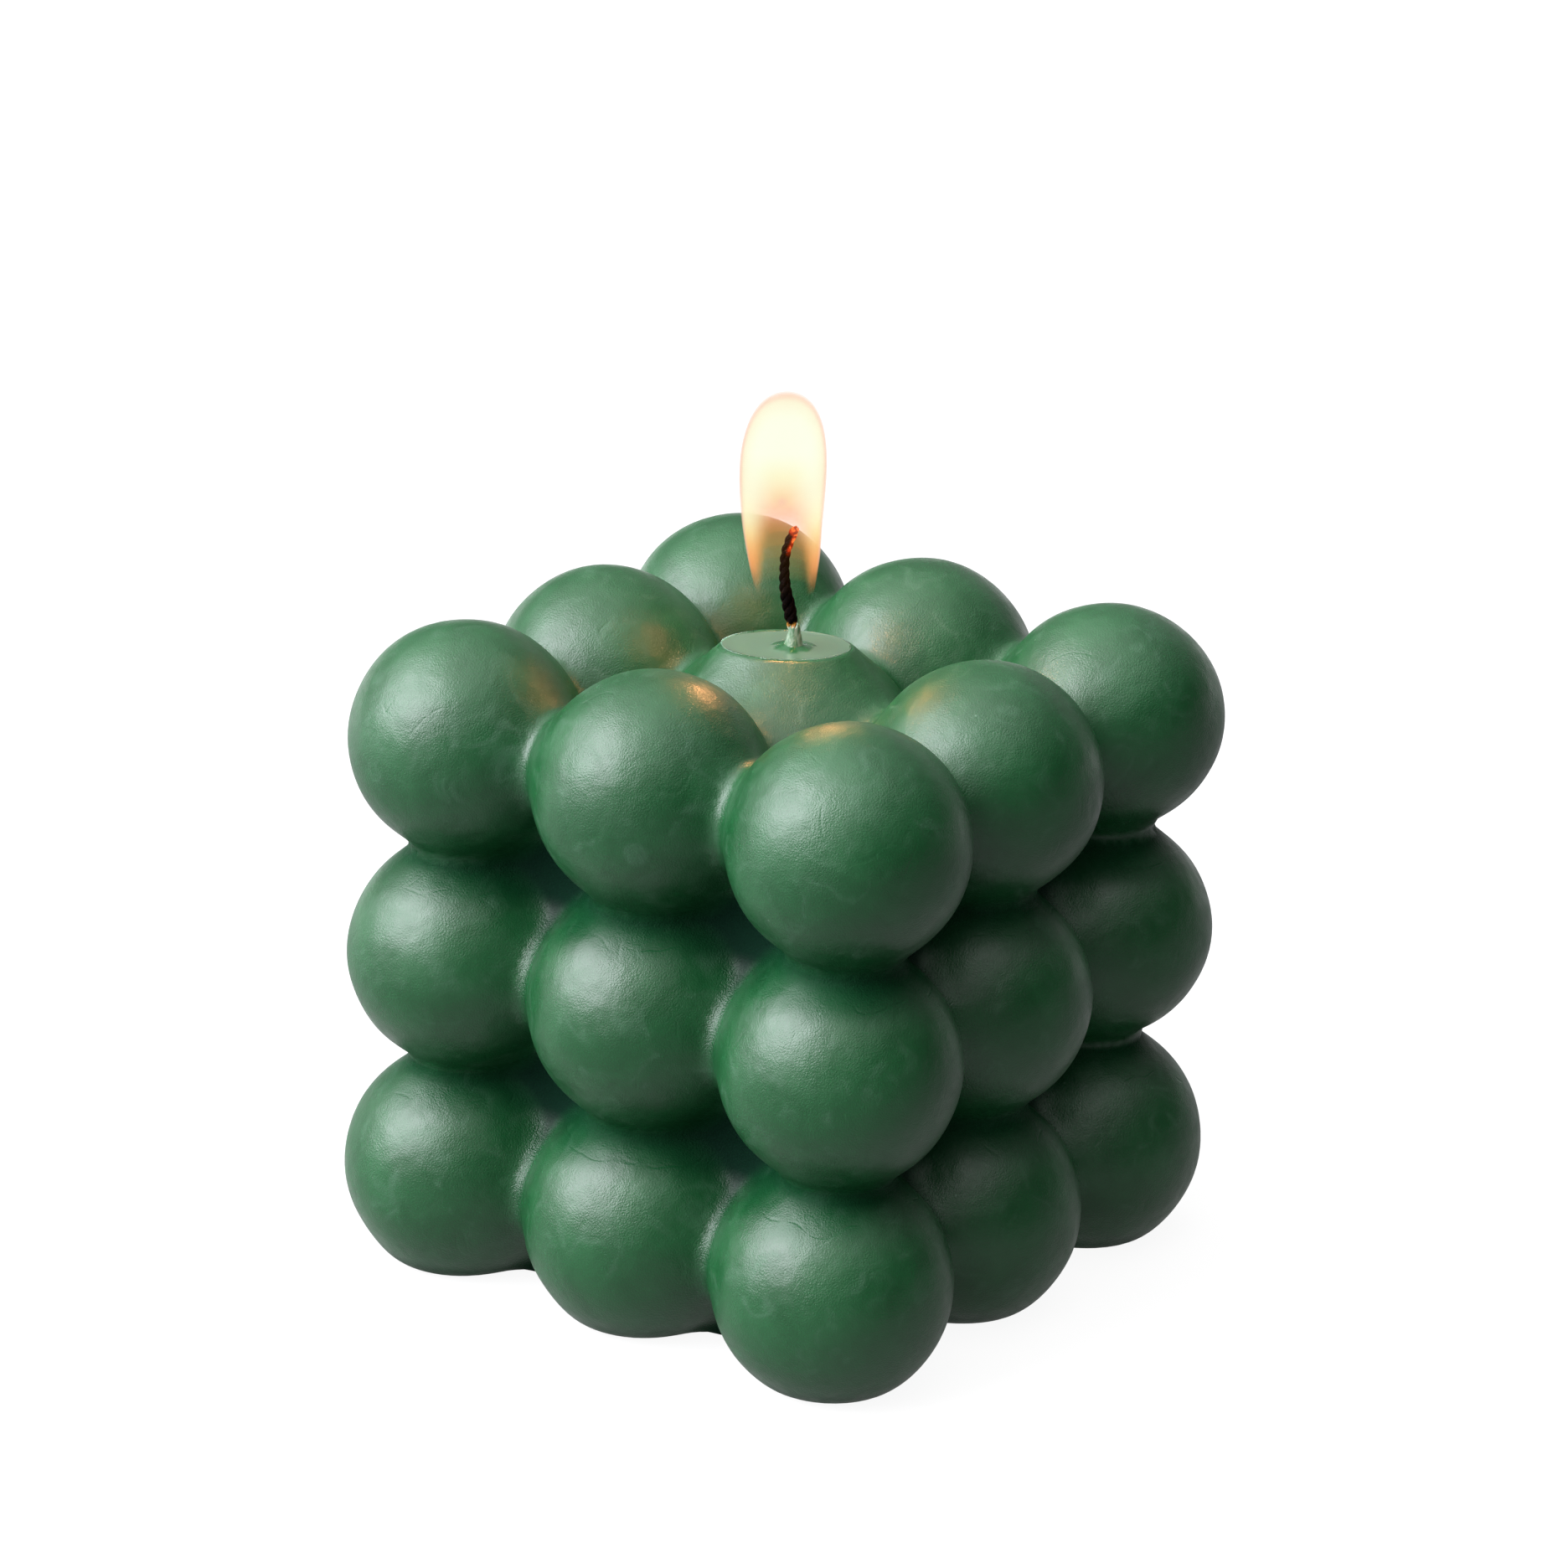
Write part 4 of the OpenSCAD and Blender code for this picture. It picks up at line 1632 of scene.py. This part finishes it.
@dataclass
class Studio:
    """A pale floor, a soft key light, a white room, the flame's light and the camera."""

    target: np.ndarray = field(default_factory=lambda: np.array([0.0, 0.0, 0.03]))
    # The key light: turn and height of its way, distance, width, height, roll and radiance
    key_turn: float = -106.0
    key_height: float = 36.0
    key_distance: float = 0.9
    key_width: float = 0.94
    key_tall: float = 0.78
    key_roll: float = 18.0
    key_radiance: float = 9.8
    key_colour: tuple[float, float, float] = (1.0, 1.0, 1.09)
    # The room is brightest round this way, and darkens over this power of the share away from it
    glow_turn: float = -105.0
    glow_height: float = 50.0
    glow_radiance: float = 3.8
    glow_power: float = 3.4
    # What is more overhead, behind on the right, and everywhere
    top_radiance: float = 1.1
    fill_turn: float = 24.0
    fill_height: float = 8.0
    fill_radiance: float = 0.5
    fill_power: float = 9.0
    least_radiance: float = 0.05
    # The floor: its radius, how light it looks, and how light it is to the wax, on the right and on the left
    floor_r: float = 4.0
    backdrop: float = 0.92
    paper: float = 0.09
    paper_to_wax: tuple[float, float] = (0.15, 0.5)
    # Light that the floor throws back close to the candle and far behind it
    near_bounce: float = 0.27
    far_bounce: float = 0.9
    flame_power: float = 0.023
    flame_colour: tuple[float, float, float] = (1.0, 0.42, 0.16)
    flame_size: float = 4.5 * MM
    camera_at: tuple[float, float, float] = (-0.3692, -0.2551, 0.2085)
    # The camera's right, up and back, as columns
    camera_turn: tuple[tuple[float, float, float], ...] = (
        (0.5784, 0.2656, -0.7713), (-0.8152, 0.2243, -0.5340), (0.0311, 0.9376, 0.3462),
    )
    lens: float = 127.39

    def camera(self) -> None:
        """Places the camera as the photo's was."""
        data = bpy.data.cameras.new("camera")
        data.lens = self.lens
        data.sensor_width = 36.0
        eye = new_object("camera", data)
        eye.matrix_world = Matrix.Translation(self.camera_at) @ Matrix(self.camera_turn).to_4x4()
        bpy.context.scene.camera = eye

    @staticmethod
    def way(turn: float, height: float) -> Vector:
        """Works out a direction from the candle.

        Args:
            turn: Degrees from straight behind it, as the viewer sees it, to the right.
            height: Degrees above level.

        Returns:
            The direction, of length 1.
        """
        t, h = math.radians(turn), math.radians(height)
        level = AWAY * math.cos(t) + RIGHTWARDS * math.sin(t)
        return Vector(level * math.cos(h) + np.array([0, 0, math.sin(h)])).normalized()

    def softbox(self) -> None:
        """Adds the key light: a soft rectangle that faces the candle, raised at its end near the viewer."""
        data = bpy.data.lights.new("key", "AREA")
        data.shape = "RECTANGLE"
        data.size, data.size_y = self.key_width, self.key_tall
        data.energy = self.key_radiance * math.pi * self.key_width * self.key_tall
        data.color = self.key_colour
        lamp = new_object("key", data)
        way = self.way(self.key_turn, self.key_height)
        place = Matrix.Translation(Vector(self.target) + way * self.key_distance)
        turn = way.to_track_quat("Z", "Y").to_matrix().to_4x4()
        lamp.matrix_world = place @ turn @ Matrix.Rotation(math.radians(self.key_roll), 4, "Z")
        lamp.visible_camera = False

    def floor(self) -> None:
        """Lays the pale floor, which looks almost white and gives the wax less light than that."""
        bm = bmesh.new()
        bmesh.ops.create_circle(bm, cap_ends=True, segments=96, radius=self.floor_r)
        made, g = new_material("floor")
        sees = g.node("LightPath").outputs["Is Camera Ray"]
        point = g.object_point()
        dim = g.spread(g.dot(point, -RIGHTWARDS), -0.02, 0.35, *self.paper_to_wax)
        grey = g.node("CombineColor", Red=dim, Green=dim, Blue=dim).outputs["Color"]
        sheet = g.node("BsdfDiffuse", Color=g.blend(sees, grey, rgba((self.paper,) * 3)))
        bounce = g.spread(g.length(point), 0.04, 0.10, self.near_bounce, 0.0)
        beyond = g.spread(g.dot(point, AWAY), 0.16, 0.45, 0.0, self.far_bounce)
        bounce = g.math("MAXIMUM", bounce, beyond)
        glow = g.math("MULTIPLY", sees, g.math("SUBTRACT", self.backdrop, bounce))
        backlight = g.node("Emission", Color=(1, 1, 1, 1), Strength=g.math("ADD", glow, bounce))
        both = g.node("AddShader")
        g.feed(both.inputs[0], sheet.outputs[0])
        g.feed(both.inputs[1], backlight.outputs[0])
        g.end("OutputMaterial", both.outputs[0])
        new_piece("floor", to_mesh(bm, "floor"), made)

    def room(self) -> None:
        """Lights the room: white to look at, bright round the key light and ever dimmer away from it."""
        world = bpy.data.worlds.new("room")
        world.use_nodes = True
        bpy.context.scene.world = world
        g = Graph(world.node_tree)
        way = g.node("TexCoord").outputs["Generated"]
        near = g.dot(way, self.way(self.glow_turn, self.glow_height))
        share = g.math("DIVIDE", g.math("ADD", near, 0.3), 1.3)
        share = g.math("POWER", g.math("MAXIMUM", share, 0.0), self.glow_power)
        above = g.math("MAXIMUM", g.node("SeparateXYZ", Vector=way).outputs["Z"], 0.0)
        above = g.math("MULTIPLY", g.math("POWER", above, 3.0), self.top_radiance)
        behind = g.math("MAXIMUM", g.dot(way, self.way(self.fill_turn, self.fill_height)), 0.0)
        fill = g.math("MULTIPLY", g.math("POWER", behind, self.fill_power), self.fill_radiance)
        fill = g.math("ADD", fill, self.least_radiance)
        glow = g.math("ADD", g.math("ADD", g.math("MULTIPLY", share, self.glow_radiance), above), fill)
        sees = g.node("LightPath").outputs["Is Camera Ray"]
        strength = g.math("ADD", g.math("MULTIPLY", glow, g.math("SUBTRACT", 1.0, sees)), sees)
        light = g.node("Background", Color=(1, 1, 1, 1), Strength=strength)
        g.end("OutputWorld", light.outputs[0])

    def flame_light(self, place: np.ndarray) -> None:
        """Adds the warm light that the flame casts on the wax.

        Args:
            place: Middle of the flame.
        """
        data = bpy.data.lights.new("flame_light", "POINT")
        data.energy = self.flame_power
        data.color = self.flame_colour
        data.shadow_soft_size = self.flame_size
        lamp = new_object("flame_light", data)
        lamp.location = Vector(place)
        lamp.visible_camera = False

    def build(self, flame_at: np.ndarray) -> None:
        """Builds the whole studio.

        Args:
            flame_at: Middle of the flame.
        """
        self.camera()
        self.floor()
        self.room()
        self.softbox()
        self.flame_light(flame_at)
        scene = bpy.context.scene
        scene.view_settings.view_transform = "Standard"
        scene.cycles.transparent_max_bounces = 64


def main() -> None:
    """Builds the candle's pieces in order, then the studio."""
    logging.basicConfig(level=logging.INFO, format="%(name)s: %(message)s")
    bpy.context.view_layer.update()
    lattice = Lattice.from_frame()
    melt = Melt()
    WaxCasting(lattice, melt).build()
    MeltPool(melt).build()
    wick = Wick(melt)
    wick.build()
    Sheath(melt).build()
    Flame(melt, wick).build()
    Studio().build(LEAN * wick.reach + np.array([0, 0, melt.rim_z + FLAME_MIDDLE]))


if __name__ == "__main__":
    main()
